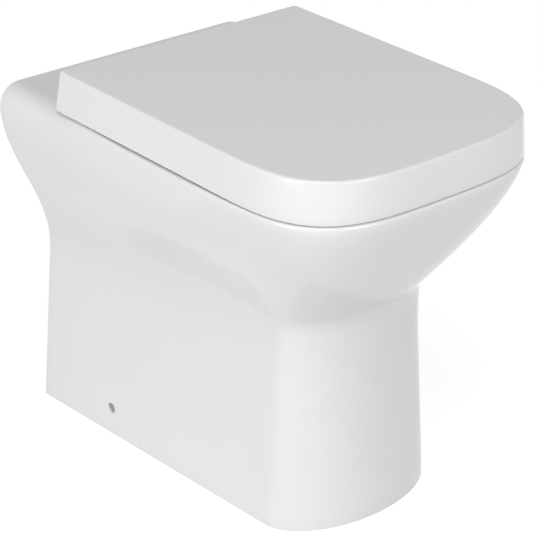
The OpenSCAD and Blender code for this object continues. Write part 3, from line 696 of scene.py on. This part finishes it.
@dataclass(frozen=True)
class Waterway:
    """The trap, the outlet and the flush way, whose middles lie in the plane X = 0.

    outlet and inlet are places along Y: the chamber's start, the step and the end. outlet_r is
    inside and outside; inlet_r is the narrow inside, the wide inside and the outside. The drum
    and the neck are the casting behind the spigot and the collar, the drain and the flush the
    water in them, and the box is the casting round the flush chamber. They overlap.
    """

    trap: tuple[Pair, ...] = ((-16.0, 152.0), (62.0, 152.0), (80.0, 256.0), (134.0, 256.0),
                              (134.0, 180.0))
    trap_r: float = 26.5
    trap_t: float = 8.0
    bend_r: float = 17.0
    outlet_h: float = 180.0
    outlet: Triple = (98.0, 175.0, 215.0)
    outlet_r: Pair = (41.0, 51.0)
    outlet_step: float = 1.5
    drum_end: float = 183.0
    dome_r: float = 16.0
    spigot_start: float = 169.0
    drain_start: float = 108.0
    drain_edge: float = 8.0
    inlet_h: float = 335.0
    inlet: Triple = (76.0, 155.0, 205.0)
    inlet_r: Triple = (22.0, 27.5, 37.0)
    neck_end: float = 161.0
    collar_start: float = 151.0
    flush_start: float = 100.0
    chamber: Pair = (76.0, 104.0)
    chamber_z: Pair = (319.0, 388.0)
    chamber_x: Pair = (-48.0, 48.0)
    box_y: float = 50.0
    box_top: float = 408.0
    box_r: float = 14.0
    slot: Pair = (40.0, 78.0)
    slot_x: Pair = (-42.0, 42.0)
    slot_z: Pair = (354.0, 380.0)
    slot_r: float = 6.0

    def middle_line(self) -> Array:
        """The trap's path, [rows, 2]: straight legs, with each corner rounded by a parabola."""
        corners = np.asarray(self.trap)
        legs = [corners[:1]]
        share = np.linspace(0.0, 1.0, 9)[:, None]
        for before, here, after in zip(corners, corners[1:], corners[2:]):
            start, end = (here + self.bend_r * (leg - here) / np.linalg.norm(leg - here)
                          for leg in (before, after))
            legs.append(mix(mix(start, here, share), mix(here, end, share), share))
        return np.concatenate([*legs, corners[-1:]])

    def tube(self, radius: float) -> Surface:
        """A pipe along the path: circles square to it, closed at both ends."""
        path = self.middle_line()
        ahead = np.gradient(path, axis=0)
        ahead /= np.linalg.norm(ahead, axis=1, keepdims=True)
        turn = circle(40)
        side = radius * np.cos(turn)
        y, z = path[:, :1] - ahead[:, 1:] * side, path[:, 1:] + ahead[:, :1] * side
        return Surface(stack(radius * np.sin(turn), y, z), ROUND_CAP)

    def bulk(self, china: float) -> Surface:
        """Solids that overlap: the trap's pipe, the outlet's drum and the flush way's boxes.

        Args:
            china: the casting's thickness.

        Returns:
            The solids.
        """
        bulk = self.tube(self.trap_r + self.trap_t)
        drum = [*domed_end(self.outlet_r[1] - self.outlet_step, self.outlet[0], self.dome_r),
                (self.outlet_r[1] - self.outlet_step, self.drum_end), (0.0, self.drum_end)]
        bulk.add_rings(turned(drum, (0.0, 0.0, self.outlet_h), 1))
        neck = rod(self.inlet_r[2], self.inlet[0], self.neck_end)
        bulk.add_rings(turned(neck, (0.0, 0.0, self.inlet_h), 1))
        walls = round_box((self.chamber_x[0] - china, self.chamber_x[1] + china),
                          (self.chamber_z[0] - china, self.box_top), self.box_r)
        bulk.add_rings(carried(walls, (self.box_y, self.chamber[1] + china), 1), ROUND_CAP)
        return bulk


@dataclass
class Pan:
    """The china casting: skin, deck and bowl in one sheet, with the trap and flush way behind.

    hinge_hole and side_hole are two coordinates and a radius. works_top and core_top, that of
    the solid which hollows the works, are a height over the deck and the radius of a flare.
    slip is how far and how often the smoothing of the works goes.
    """

    skin: Skin = Skin()
    bowl: Bowl = Bowl()
    water: Waterway = Waterway()
    china: float = 10.0
    lining: float = 6.0
    wall_columns: int = 36
    hinge_hole: Triple = (77.5, 117.5, 7.5)
    hinge_hole_z: Pair = (395.0, 420.0)
    side_hole: Triple = (145.5, 32.0, 6.25)
    side_depth: float = 20.0
    hole_edge: float = 0.8
    rim_r: float = 1.6
    works_top: Pair = (-5.0, 13.0)
    core_top: Pair = (4.0, 1.0)
    voxel: float = 3.4
    slip: tuple[float, int] = (0.6, 9)

    def deck_ring(self, sheet: Array) -> Array:
        """A sheet's top row closed by places along the wall."""
        start, end = sheet[-1, -1], sheet[-1, 0]
        wall = mix(start, end, np.linspace(0.0, 1.0, self.wall_columns + 1)[1:-1, None])
        return np.concatenate([sheet[-1], wall])

    def shell(self, glaze: Material, biscuit: Material) -> Piece:
        """The sheet that shows: its glazed side, its bare side and the strip that joins them.

        Args:
            glaze: the glazed finish.
            biscuit: the bare finish.

        Returns:
            A closed solid with rounded rims at the floor and the wall.
        """
        sheets = self.skin.sheet(0.0), self.skin.sheet(self.china)
        decks = [self.deck_ring(sheet) for sheet in sheets]
        turn = self.bowl.turns(decks[0])
        under = self.bowl.outside(turn, self.skin.deck_h - self.china, self.lining, 3.0)
        bowls = self.bowl.inside(turn), under
        steps = np.array([0.0, 0.01, 0.3, 0.65, 0.985, 1.0])[:, None, None]
        solid, rims = Surface(), []
        for finish, (sheet, deck, bowl) in enumerate(zip(sheets, decks, bowls)):
            solid.add_grid(sheet, finish=finish)
            solid.add_grid(mix(deck[None], bowl[:1], steps), True, finish)
            solid.add_grid(bowl, True, finish)
            solid.add_cap(bowl[-1], finish)
            rims.append(np.concatenate([sheet[0], sheet[1:, -1], deck[sheet.shape[1]:],
                                        sheet[:0:-1, 0]]))
        solid.add_grid(np.stack(rims), True, 1)
        piece = solid.to_piece("pan_casting", [glaze, biscuit])
        soften(piece, self.rim_r, RIM)
        return piece

    def works(self, biscuit: Material) -> Piece:
        """The outside of bowl and waterway: a remesh joins them, a smoothing rounds the corners.

        Args:
            biscuit: the bare finish.

        Returns:
            A closed solid, hollow where the bowl is.
        """
        deck, turn = self.skin.deck_h, circle(120)
        bulk = self.water.bulk(self.china)
        high, flare = self.works_top
        bulk.add_rings(self.bowl.outside(turn, deck + high, self.china, flare), ROUND_CAP)
        piece = bulk.to_piece("works", [biscuit])
        step = piece.modifiers.new("run together", "REMESH")
        step.mode, step.voxel_size = "VOXEL", self.voxel * MM
        step = piece.modifiers.new("slip in the corners", "SMOOTH")
        step.factor, step.iterations = self.slip
        bake(piece)
        high, flare = self.core_top
        core = self.bowl.outside(turn, deck + high, self.lining / 2, flare)
        core[-1, :, 2] = self.bowl.low - self.lining / 2
        combine(piece, Surface(core, ROUND_CAP), CUT)
        return piece

    def bore(self, side: int) -> Surface:
        """The cutter for a side hole: circles below the skin, flared where glaze rounds the mouth.

        Args:
            side: -1 or 1.

        Returns:
            The solid to cut out.
        """
        y0, z0, r = self.side_hole
        lip, turn = self.hole_edge, bend(90.0, 0.0, 6)
        radii = np.concatenate([[[r + lip]], r + lip * (1.0 - np.cos(turn)), [[r]]])
        depths = np.concatenate([[[-2.0]], lip * (1.0 - np.sin(turn)), [[self.side_depth]]])
        y, z = y0 + radii * np.cos(circle(48)), z0 + radii * np.sin(circle(48))
        return Surface(stack(side * (self.skin.half(y, z) - depths), y, z), FLAT_CAP)

    def build(self) -> None:
        """Joins the shell and the works, adds the crisp pipe ends and cuts every way through."""
        glaze, biscuit = GLAZE.material(), BISCUIT.material()
        water = self.water
        _, grip, out = water.outlet
        _, step, back = water.inlet
        inside, spigot = water.outlet_r
        small, wide, collar = water.inlet_r
        neck = spigot - water.outlet_step
        outlet, inlet = (0.0, 0.0, water.outlet_h), (0.0, 0.0, water.inlet_h)
        piece = self.shell(glaze, biscuit)
        combine(piece, self.works(biscuit), ADD)

        start = water.spigot_start
        rim = [(0.0, start), (neck, start), (neck, grip), (spigot, grip + 1.0),
               *pipe_end(spigot, out)]
        combine(piece, Surface(turned(rim, outlet, 1)), ADD)
        start = water.collar_start
        rim = [(0.0, start), (collar, start), *pipe_end(collar, back)]
        combine(piece, Surface(turned(rim, inlet, 1)), ADD)

        drain = [*domed_end(inside, water.drain_start, water.drain_edge), *flared_end(inside, out)]
        start = water.flush_start
        flush = [(0.0, start), (small, start), (small, step), (wide, step), *flared_end(wide, back)]
        chamber = round_box(water.chamber_x, water.chamber_z, water.slot_r)
        slot = round_box(water.slot_x, water.slot_z, water.slot_r)
        x, y, r = self.hinge_hole
        hole = rod(r, *self.hinge_hole_z)
        ways = [water.tube(water.trap_r), Surface(turned(drain, outlet, 1)),
                Surface(turned(flush, inlet, 1)),
                Surface(carried(chamber, water.chamber, 1), FLAT_CAP),
                Surface(carried(slot, water.slot, 1), FLAT_CAP)]
        for side in SIDES:
            ways += [Surface(turned(hole, (side * x, y, 0.0), 2)), self.bore(side)]
        for way in ways:
            combine(piece, way, CUT)
        settle(piece, "pan", "china", ("pan", "flush_collar"))


# ---- Seat and lid ----

def plan(half: Number, rear: Number, start: float, tip: Number, square: float, corner: Number,
         z: Number) -> Array:
    """Level rings: a round rear corner, a straight side and a superellipse front.

    Args:
        half: half width; it, rear, tip, corner and z are one number or one for each row.
        rear: the rear edge.
        start: where the front curve starts.
        tip: the front.
        square: the front curve's squareness.
        corner: radius of the rear corners.
        z: height.

    Returns:
        Points, [rows, columns, 3], which close along the rear edge.
    """
    values = (np.atleast_1d(value)[:, None] for value in (half, rear, tip, corner, z))
    half, rear, tip, corner, z = np.broadcast_arrays(*values)
    round_rear = np.radians(np.linspace(0.0, 90.0, 9))
    turn = np.radians(np.linspace(0.0, 90.0, 41)[1:])
    along = np.linspace(0.0, 1.0, 25)[1:]
    far = reach(turn, square)
    edge = mix(0.0, half - corner, np.linspace(0.0, 1.0, 9)[:-1])
    x = np.concatenate([-edge, -(half - corner + corner * np.sin(round_rear)),
                        -half + 0.0 * along, -half * far * np.cos(turn)], axis=1)
    y = np.concatenate([rear + 0.0 * edge, rear - corner + corner * np.cos(round_rear),
                        mix(rear - corner, start, along),
                        start - (start - tip) * far * np.sin(turn)], axis=1)
    return both_sides(stack(x, y, z))[:, :-1]


@dataclass
class Hinge:
    """The line that the seat and the lid turn about, its posts and the lugs on it.

    inner and outer are where the seat's and the lid's lug lie across the pan.
    """

    y: float = 152.5
    z: float = 446.0
    barrel_r: float = 9.5
    bore_r: float = 6.0
    lug_edge: float = 0.7
    post_x: float = 77.5
    post_y: float = 117.5
    post_w: float = 20.0
    inner: Pair = (41.0, 67.0)
    outer: Pair = (88.0, 114.0)

    def barrel(self, start: float, end: float) -> Array:
        """Places round a lug's barrel, from start to end degrees."""
        return arc((self.y, self.z), self.barrel_r, start, end, 28)

    def add_lug(self, piece: Piece, outline: Array, ends: Pair) -> None:
        """Adds one lug, with its edges rounded as a mould does.

        Args:
            piece: the seat or the lid.
            outline: the lug seen from the side.
            ends: where it starts and stops across the pan.
        """
        lug = Surface(carried(outline, ends, 0), FLAT_CAP)
        lug = lug.to_piece("lug", piece.data.materials[:1])
        soften(lug, self.lug_edge, angle=40.0)
        combine(piece, lug, ADD)

    def cut_bores(self, piece: Piece, span: Pair) -> None:
        """Cuts the bores of both lugs that lie within a span across the pan."""
        for side in SIDES:
            hole = rod(self.bore_r, *across(side, (span[0] - PAST, span[1] + PAST)))
            combine(piece, Surface(turned(hole, (0.0, self.y, self.z), 0, 48)), CUT)


@dataclass
class Lid:
    """The wrap-over lid: a flat top, a tight upper edge, a leaning skirt and two lugs.

    lean is how far the sides, the front and the rear lean in; web is half a lug's depth. The
    notches go notch_in past the skirt's inner face, and their cutters start notch_drop below it.
    """

    hinge: Hinge
    half: float = 171.5
    rear: float = 168.0
    start: float = -108.0
    tip: float = -270.0
    square: float = 3.5
    low: float = 416.8
    top: float = 463.0
    lean: Triple = (4.2, 1.0, 6.0)
    edge_r: float = 3.0
    rear_r: float = 6.0
    mould_r: float = 0.8
    corner_r: float = 8.5
    skirt: float = 4.5
    thick: float = 5.0
    inner_r: float = 2.5
    notch: Pair = (37.0, 104.5)
    notch_r: float = 3.0
    notch_in: float = 0.6
    notch_drop: float = 20.0
    web: float = 8.0
    rows: int = 5

    def rings(self, z: Number, inset: Number) -> Array:
        """Rings of the skirt, which leans in as it rises."""
        up = (z - self.low) / (self.top - self.low)
        sides, front, rear = self.lean
        corner = np.maximum(self.rear_r - inset, 1.0)
        return plan(self.half - sides * up - inset, self.rear - rear * up - inset, self.start,
                    self.tip + front * up + inset, self.square, corner, z)

    def skirt_rows(self, high: float, inset: float) -> Array:
        """Rows from the lower edge up: the edge rises in a quarter circle at the rear end."""
        rings = self.rings(np.linspace(self.low, high, self.rows), inset)
        back = np.clip(rings[:1, :, 1] - (self.rear - self.corner_r), 0.0, self.corner_r)
        lift = self.corner_r - np.sqrt(self.corner_r ** 2 - back ** 2)
        rings[..., 2] += lift * np.linspace(1.0, 0.0, self.rows)[:, None]
        return rings

    def face(self, top: float, edge_r: float, inset: float) -> Array:
        """One side of the shell: the skirt and the rounded edge above it."""
        turn = bend(0.0, 90.0, 8)[:, 0]
        edge = self.rings(top - edge_r * (1.0 - np.sin(turn)),
                          inset + edge_r * (1.0 - np.cos(turn)))
        return np.concatenate([self.skirt_rows(top - edge_r, inset)[:-1], edge])

    def build(self) -> None:
        """Makes the closed shell, adds the lugs and their webs, and cuts notches and bores."""
        hinge, web = self.hinge, self.web
        under = self.top - self.thick
        faces = self.face(self.top, self.edge_r, 0.0), self.face(under, self.inner_r, self.skirt)
        shell = Surface()
        for face in faces:
            shell.add_grid(face, True)
            shell.add_cap(face[-1])
        shell.add_grid(np.stack([face[0] for face in faces]), True)
        piece = shell.to_piece("lid_shell", [UREA.material()])
        soften(piece, self.mould_r, RIM)

        past = math.degrees(math.asin(math.sqrt(hinge.barrel_r ** 2 - web * web) / hinge.barrel_r))
        lug = np.concatenate([[(hinge.y + web, under + LAP)], hinge.barrel(past, -180.0 - past),
                              [(hinge.y - web, under + LAP)]])
        ends = self.rear - self.lean[2] - self.skirt - self.notch_in, self.rear + PAST
        high = self.low - self.notch_drop, under
        for side in SIDES:
            walls = round_box(across(side, self.notch), high, self.notch_r)
            combine(piece, Surface(carried(walls, ends, 1), FLAT_CAP), CUT)
            hinge.add_lug(piece, lug, across(side, hinge.outer))
        hinge.cut_bores(piece, hinge.outer)
        settle(piece, "lid", "duroplast", ("lid",))


@dataclass
class Seat:
    """The seat ring: round upper edges, a hollow underside, notches for the arms and two lugs."""

    hinge: Hinge
    half: float = 161.0
    rear: float = 118.0
    start: float = -108.0
    tip: float = -259.5
    square: float = 3.5
    low: float = 424.0
    top: float = 449.0
    edge_r: float = 8.0
    low_edge: float = 1.5
    corner_r: float = 18.0
    wall: float = 7.0
    hole_half: float = 113.0
    hole: Pair = (-203.5, 62.0)
    hole_square: float = 2.6
    wide_share: float = 0.45
    notch_y: float = 104.5
    notch_r: float = 4.0
    notch_len: float = 40.0
    post_gap: float = 2.0
    lug_drop: float = 1.0
    boss_r: float = 12.0
    studs: tuple[Pair, ...] = ((62.0, -243.0), (146.0, 20.0))

    def outer(self, z: Array, inset: Array, rear: Number, corner: Number) -> Array:
        """Rings inside the outer edge, with their own rear edge and rear corners."""
        return plan(self.half - inset, rear, self.start, self.tip + inset, self.square, corner, z)

    def inner(self, ring: Array, z: Array, grow: Array) -> Array:
        """Rings of the hole.

        Args:
            ring: the outer ring whose columns these match, [columns, 3].
            z: heights of the rows.
            grow: distance outside the hole for each row.

        Returns:
            Points, [rows, columns, 3].
        """
        tip, rear = self.hole
        wide = mix(rear, tip, self.wide_share)
        turn = egg_turns(ring, self.hole_half, self.hole, wide)
        z, grow = z[:, None], grow[:, None]
        ends = tip - grow, rear + grow
        return egg(turn, self.hole_half + grow, ends, wide, self.hole_square, z)

    def moulding(self, roof: float) -> Piece:
        """Sweeps the seat's profile round: up the outside, over the top and up into the hollow."""
        low, r, turn = self.low, self.edge_r, bend(0.0, 90.0, 10)[:, 0]
        z = np.concatenate([[low, low + 0.5, low + self.low_edge, low + 5.0],
                            self.top - r * (1.0 - np.sin(turn))])
        inset = np.concatenate([[self.low_edge, 0.5, 0.0, 0.0], r * (1.0 - np.cos(turn))])
        outer = self.outer(z, inset, self.rear - inset, np.maximum(self.corner_r - inset, 2.0))
        inner = self.inner(outer[-1], z, inset)
        top = mix(outer[-1:], inner[-1:], np.array([0.01, 0.5, 0.99])[:, None, None])
        z = np.array([low, roof - 2.0, roof])
        inset = np.array([self.wall, self.wall, self.wall + 2.0])
        cave_out = self.outer(z, inset, self.notch_y - self.wall, self.corner_r)
        cave_in = self.inner(outer[-1], z, inset)
        rings = [outer, top, inner[::-1], cave_in, cave_out[::-1], outer[:1]]
        return Surface(np.concatenate(rings)).to_piece("seat_moulding", [UREA.material()])

    def build(self) -> None:
        """Makes the moulding, adds bosses and lugs and cuts the notches and the bores."""
        hinge = self.hinge
        low, high, r, roof = self.low, self.top - self.lug_drop, self.boss_r, self.top - self.wall
        piece = self.moulding(roof)
        boss = [(0.0, low), (r - 0.6, low), (r, low + 0.6), (r, roof + LAP), (0.0, roof + LAP)]
        past = 180.0 - math.degrees(math.asin((high - hinge.z) / hinge.barrel_r))
        lug = np.concatenate([[(self.notch_y, high), (self.notch_y, hinge.z - hinge.barrel_r)],
                              hinge.barrel(-90.0, past)])
        room = hinge.post_w / 2 + self.post_gap
        post = hinge.post_x - room, hinge.post_x + room
        along = self.notch_y, self.notch_y + self.notch_len
        for side in SIDES:
            for x, y in self.studs:
                combine(piece, Surface(turned(boss, (side * x, y, 0.0), 2, 40)), ADD)
            hinge.add_lug(piece, lug, across(side, hinge.inner))
            walls = round_box(across(side, post), along, self.notch_r)
            ends = low - PAST, self.top + PAST
            combine(piece, Surface(carried(walls, ends, 2), FLAT_CAP), CUT)
        hinge.cut_bores(piece, hinge.inner)
        settle(piece, "seat", "duroplast", ("seat_ring",))


# ---- Fittings ----

@dataclass(frozen=True)
class CastPart:
    """A metal or sheet part whose CAD shape is right and only needs its edges rounded."""

    node: str
    slot: str
    finish: Finish
    edge: float

    def build(self) -> None:
        """Copies the node's mesh, merges it, clears flat faces' inner edges and rounds the rest."""
        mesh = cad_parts[self.node].data.copy()
        with merged(mesh) as shape:
            bmesh.ops.dissolve_limit(shape, angle_limit=math.radians(FLAT), verts=shape.verts,
                                     edges=shape.edges)
        mesh.materials.clear()
        piece = to_scene(self.node + "_finished", mesh, [self.finish.material()])
        soften(piece, self.edge, angle=35.0)
        settle(piece, "pan", self.slot, (self.node,))


@dataclass(frozen=True)
class TurnedPart:
    """Round parts that stand for a CAD node: one profile, turned at several places."""

    node: str
    body: str
    slot: str
    finish: Finish
    profile: Profile
    middles: tuple[Triple, ...]
    axis: int = 2

    def build(self) -> None:
        """Turns the profile at each place. On the X axis the left one's profile is mirrored."""
        solid = Surface()
        for middle in self.middles:
            way = -1.0 if self.axis == 0 and middle[0] < 0 else 1.0
            shape = np.asarray(self.profile, float) * (1.0, way)
            solid.add_rings(turned(shape, middle, self.axis, 72))
        piece = solid.to_piece(self.node + "_turned", [self.finish.material()])
        settle(piece, self.body, self.slot, (self.node,))


def buffer_profile(height: float, stud_h: float = 2.4) -> Profile:
    """A rubber buffer: a soft lower edge, a waist below the head and a short stud."""
    r, stud, soft = 9.0, 2.4, 1.6
    foot = r - 2.2
    return [(0.0, 0.0), (foot, 0.0), *arc((foot, soft), soft, -80.0, -10.0, 4).tolist(),
            (r - 0.3, height - 1.2), (r, height - 0.6), (r, height), (stud, height),
            (stud, height + stud_h), (0.0, height + stud_h)]


# Radius and height of a hinge post's cover plate: a ring with a rounded upper edge.
PLATE = [(4.2, 0.0), (22.6, 0.0), (23.0, 0.4), (23.0, 1.6),
         *arc((20.6, 1.6), 2.4, 0.0, 90.0, 7).tolist(), (4.2, 4.0), (4.2, 0.0)]
# Radius and depth of a side cap below the skin: a disc with a soft outer edge.
CAP = [(0.0, -4.5), (6.15, -4.5), (6.15, -3.5), (5.8, -3.05), (3.5, -3.0), (0.0, -3.0)]


@dataclass
class Fittings:
    """Hinge metal, buffers, floor brackets, sleeves, screws and caps."""

    hinge: Hinge
    seat: Seat
    lid: Lid
    side_face: float = 127.174
    foot_h: float = 8.8
    kept: tuple[tuple[Finish, tuple[str, ...]], ...] = (
        (STEEL, ("hinge_studs", "expansion_nuts", "seat_damper_body", "lid_damper_body",
                 "side_screws")),
        (CHROME, ("seat_damper_spindle", "lid_damper_spindle", "seat_hinge_pin", "lid_hinge_pin")),
        (RUBBER, ("expansion_plugs",)),
        (NYLON, ("seat_hinge_bush", "lid_hinge_bush", "bracket_inserts", "side_sleeves")))

    def cast(self) -> list[CastPart]:
        """The hinge arms and the floor brackets."""
        looks = ("hinge_arm", "chrome", CHROME, 0.9), ("floor_bracket", "zinc_plate", ZINC, 0.5)
        return [CastPart(f"{name}_{side}", *look)
                for name, *look in looks for side in ("left", "right")]

    def turned(self) -> list[TurnedPart]:
        """The cover plates, the buffers under the seat and the lid, and the side caps."""
        hinge, seat, lid = self.hinge, self.seat, self.lid
        under = lid.top - lid.thick
        height = under - seat.top - 0.2
        pads = ((62.0, (seat.tip + seat.hole[0]) / 2), ((seat.hole_half + seat.half) / 2, 20.0))

        def placed(spots: Sequence[Pair], z: float) -> tuple:
            """The same spots on both sides of the pan, at one height."""
            return tuple((side * x, y, z) for side in SIDES for x, y in spots)

        return [
            TurnedPart("hinge_plates", "pan", "chrome", CHROME, PLATE,
                       placed([(hinge.post_x, hinge.post_y)], Skin.deck_h)),
            TurnedPart("seat_buffers", "seat", "rubber", RUBBER, buffer_profile(self.foot_h, 5.8),
                       placed(seat.studs, seat.low - self.foot_h)),
            TurnedPart("lid_buffers", "lid", "rubber", RUBBER, buffer_profile(height),
                       placed(pads, under - height)),
            # The side caps' grey is painted shade for the recess they sit in.
            TurnedPart("side_caps", "pan", "cap_plastic", SHADE_GREY_CAP_ABS, CAP,
                       placed([(self.side_face, Pan.side_hole[0])], Pan.side_hole[1]), 0)]

    def build(self) -> None:
        """Makes the shaped parts and gives the hidden CAD nodes their finish."""
        for part in [*self.cast(), *self.turned()]:
            part.build()
        for finish, nodes in self.kept:
            made = finish.material()
            for node in nodes:
                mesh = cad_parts[node].data
                mesh.materials.clear()
                mesh.materials.append(made)
                log.info("%s: %s", node, finish.name)


# ---- Studio ----

@dataclass
class Studio:
    """A pale floor, soft light and the camera of the photograph.

    place, aim and the lamps' distances are metres. A lamp has a name, its azimuth and elevation
    in degrees, as the camera's are counted, and its power in watts. Floor rings are millimetres.
    """

    place: Triple = (-1.3107, -1.5871, 1.2729)
    aim: Triple = (-0.0002, 0.0047, 0.2291)
    lens: float = 136.877
    sensor: float = 36.0
    world: float = 0.25
    floor_colour: str = "C8C8C8"
    floor_lift: float = 0.74
    floor_rings: tuple[float, ...] = (0.0, 400.0, 1500.0, 5000.0, 12000.0)
    lamp_size: float = 1.4
    lamp_far: float = 3.0
    lamps: tuple[tuple[str, float, float, float], ...] = (
        ("side_light", 84.5, 10.0, 36.0), ("front_light", -0.5, 20.0, 28.0),
        ("top_light", 48.5, 60.0, 22.0))

    def camera(self) -> None:
        """Sets the camera where the photograph was taken from."""
        made = bpy.data.cameras.new("camera")
        made.lens, made.sensor_width, made.sensor_fit = self.lens, self.sensor, "HORIZONTAL"
        made.clip_start, made.clip_end = 0.05, 60.0
        camera = to_scene("camera", made)
        camera.location = self.place
        way = Vector(self.aim) - Vector(self.place)
        camera.rotation_euler = way.to_track_quat("-Z", "Y").to_euler()
        bpy.context.scene.camera = camera

    def lamp(self, name: str, azimuth: float, elevation: float, power: float) -> None:
        """Adds a square soft box that faces the pan."""
        turn, lift = math.radians(azimuth), math.radians(elevation)
        flat = math.cos(lift)
        way = Vector((-math.sin(turn) * flat, -math.cos(turn) * flat, math.sin(lift)))
        made = bpy.data.lights.new(name, "AREA")
        made.size, made.energy = self.lamp_size, power
        lamp = to_scene(name, made)
        lamp.location = Vector(self.aim) + way * self.lamp_far
        lamp.rotation_euler = (-way).to_track_quat("-Z", "Y").to_euler()

    def backdrop(self, tree: Tree) -> Node:
        """Adds a mask that is 1 for camera, glossy and transmission rays."""
        path = add_node(tree, "LightPath")
        glossy = add_node(tree, "Math", {},
                          {0: (path, "Is Camera Ray"), 1: (path, "Is Glossy Ray")},
                          operation="MAXIMUM")
        return add_node(tree, "Math", {},
                        {0: (glossy, 0), 1: (path, "Is Transmission Ray")}, operation="MAXIMUM")

    def sky(self) -> None:
        """Soft light from all round, seen as plain white."""
        world = bpy.data.worlds.new("studio")
        bpy.context.scene.world = world
        tree = new_tree(world)
        strength = add_node(tree, "MapRange", {"To Min": self.world, "To Max": 1.0},
                            {"Value": (self.backdrop(tree), 0)})
        light = add_node(tree, "Background", {"Color": (1.0, 1.0, 1.0, 1.0)},
                         {"Strength": (strength, "Result")})
        add_node(tree, "OutputWorld", {}, {"Surface": (light, "Background")})

    def floor_finish(self) -> Material:
        """Pale matt paint. Light of its own, for the backdrop's rays, lifts it to white."""
        made = bpy.data.materials.new("pale_studio_floor")
        tree = new_tree(made)
        place = add_node(tree, "TexCoord")
        cloud = add_node(tree, "TexNoise", {"Scale": 4.0, "Detail": 2.0},
                         {"Vector": (place, "Object")})
        rough = add_node(tree, "MapRange", {"To Min": 0.85, "To Max": 0.95},
                         {"Value": (cloud, "Fac")})
        matt = add_node(tree, "BsdfPrincipled",
                        {"Base Color": linear(self.floor_colour)},
                        {"Roughness": (rough, "Result")})
        lift = add_node(tree, "Math", {1: self.floor_lift},
                        {0: (self.backdrop(tree), 0)}, operation="MULTIPLY")
        glow = add_node(tree, "Emission", {}, {"Strength": (lift, 0)})
        both = add_node(tree, "AddShader", {}, {0: (matt, "BSDF"), 1: (glow, "Emission")})
        add_node(tree, "OutputMaterial", {}, {"Surface": (both, "Shader")})
        return made

    def floor(self) -> None:
        """A flat floor of rings about the pan, with its faces turned up."""
        rings = turned([(radius, 0.0) for radius in self.floor_rings], (0.0, 0.0, 0.0), 2, 48)
        piece = Surface(rings).to_piece("floor", [self.floor_finish()])
        if piece.data.polygons[0].normal.z < 0:
            piece.data.flip_normals()

    def build(self) -> None:
        """Sets the view, the camera, the light and the floor."""
        bpy.context.scene.view_settings.view_transform = "Standard"
        self.camera()
        self.sky()
        for lamp in self.lamps:
            self.lamp(*lamp)
        self.floor()


def main() -> None:
    """Builds the toilet and the studio."""
    logging.basicConfig(level=logging.INFO, format="%(name)s: %(message)s")
    hinge = Hinge()
    seat, lid = Seat(hinge), Lid(hinge)
    for part in (Pan(), seat, lid, Fittings(hinge, seat, lid), Studio()):
        part.build()


if __name__ == "__main__":
    main()
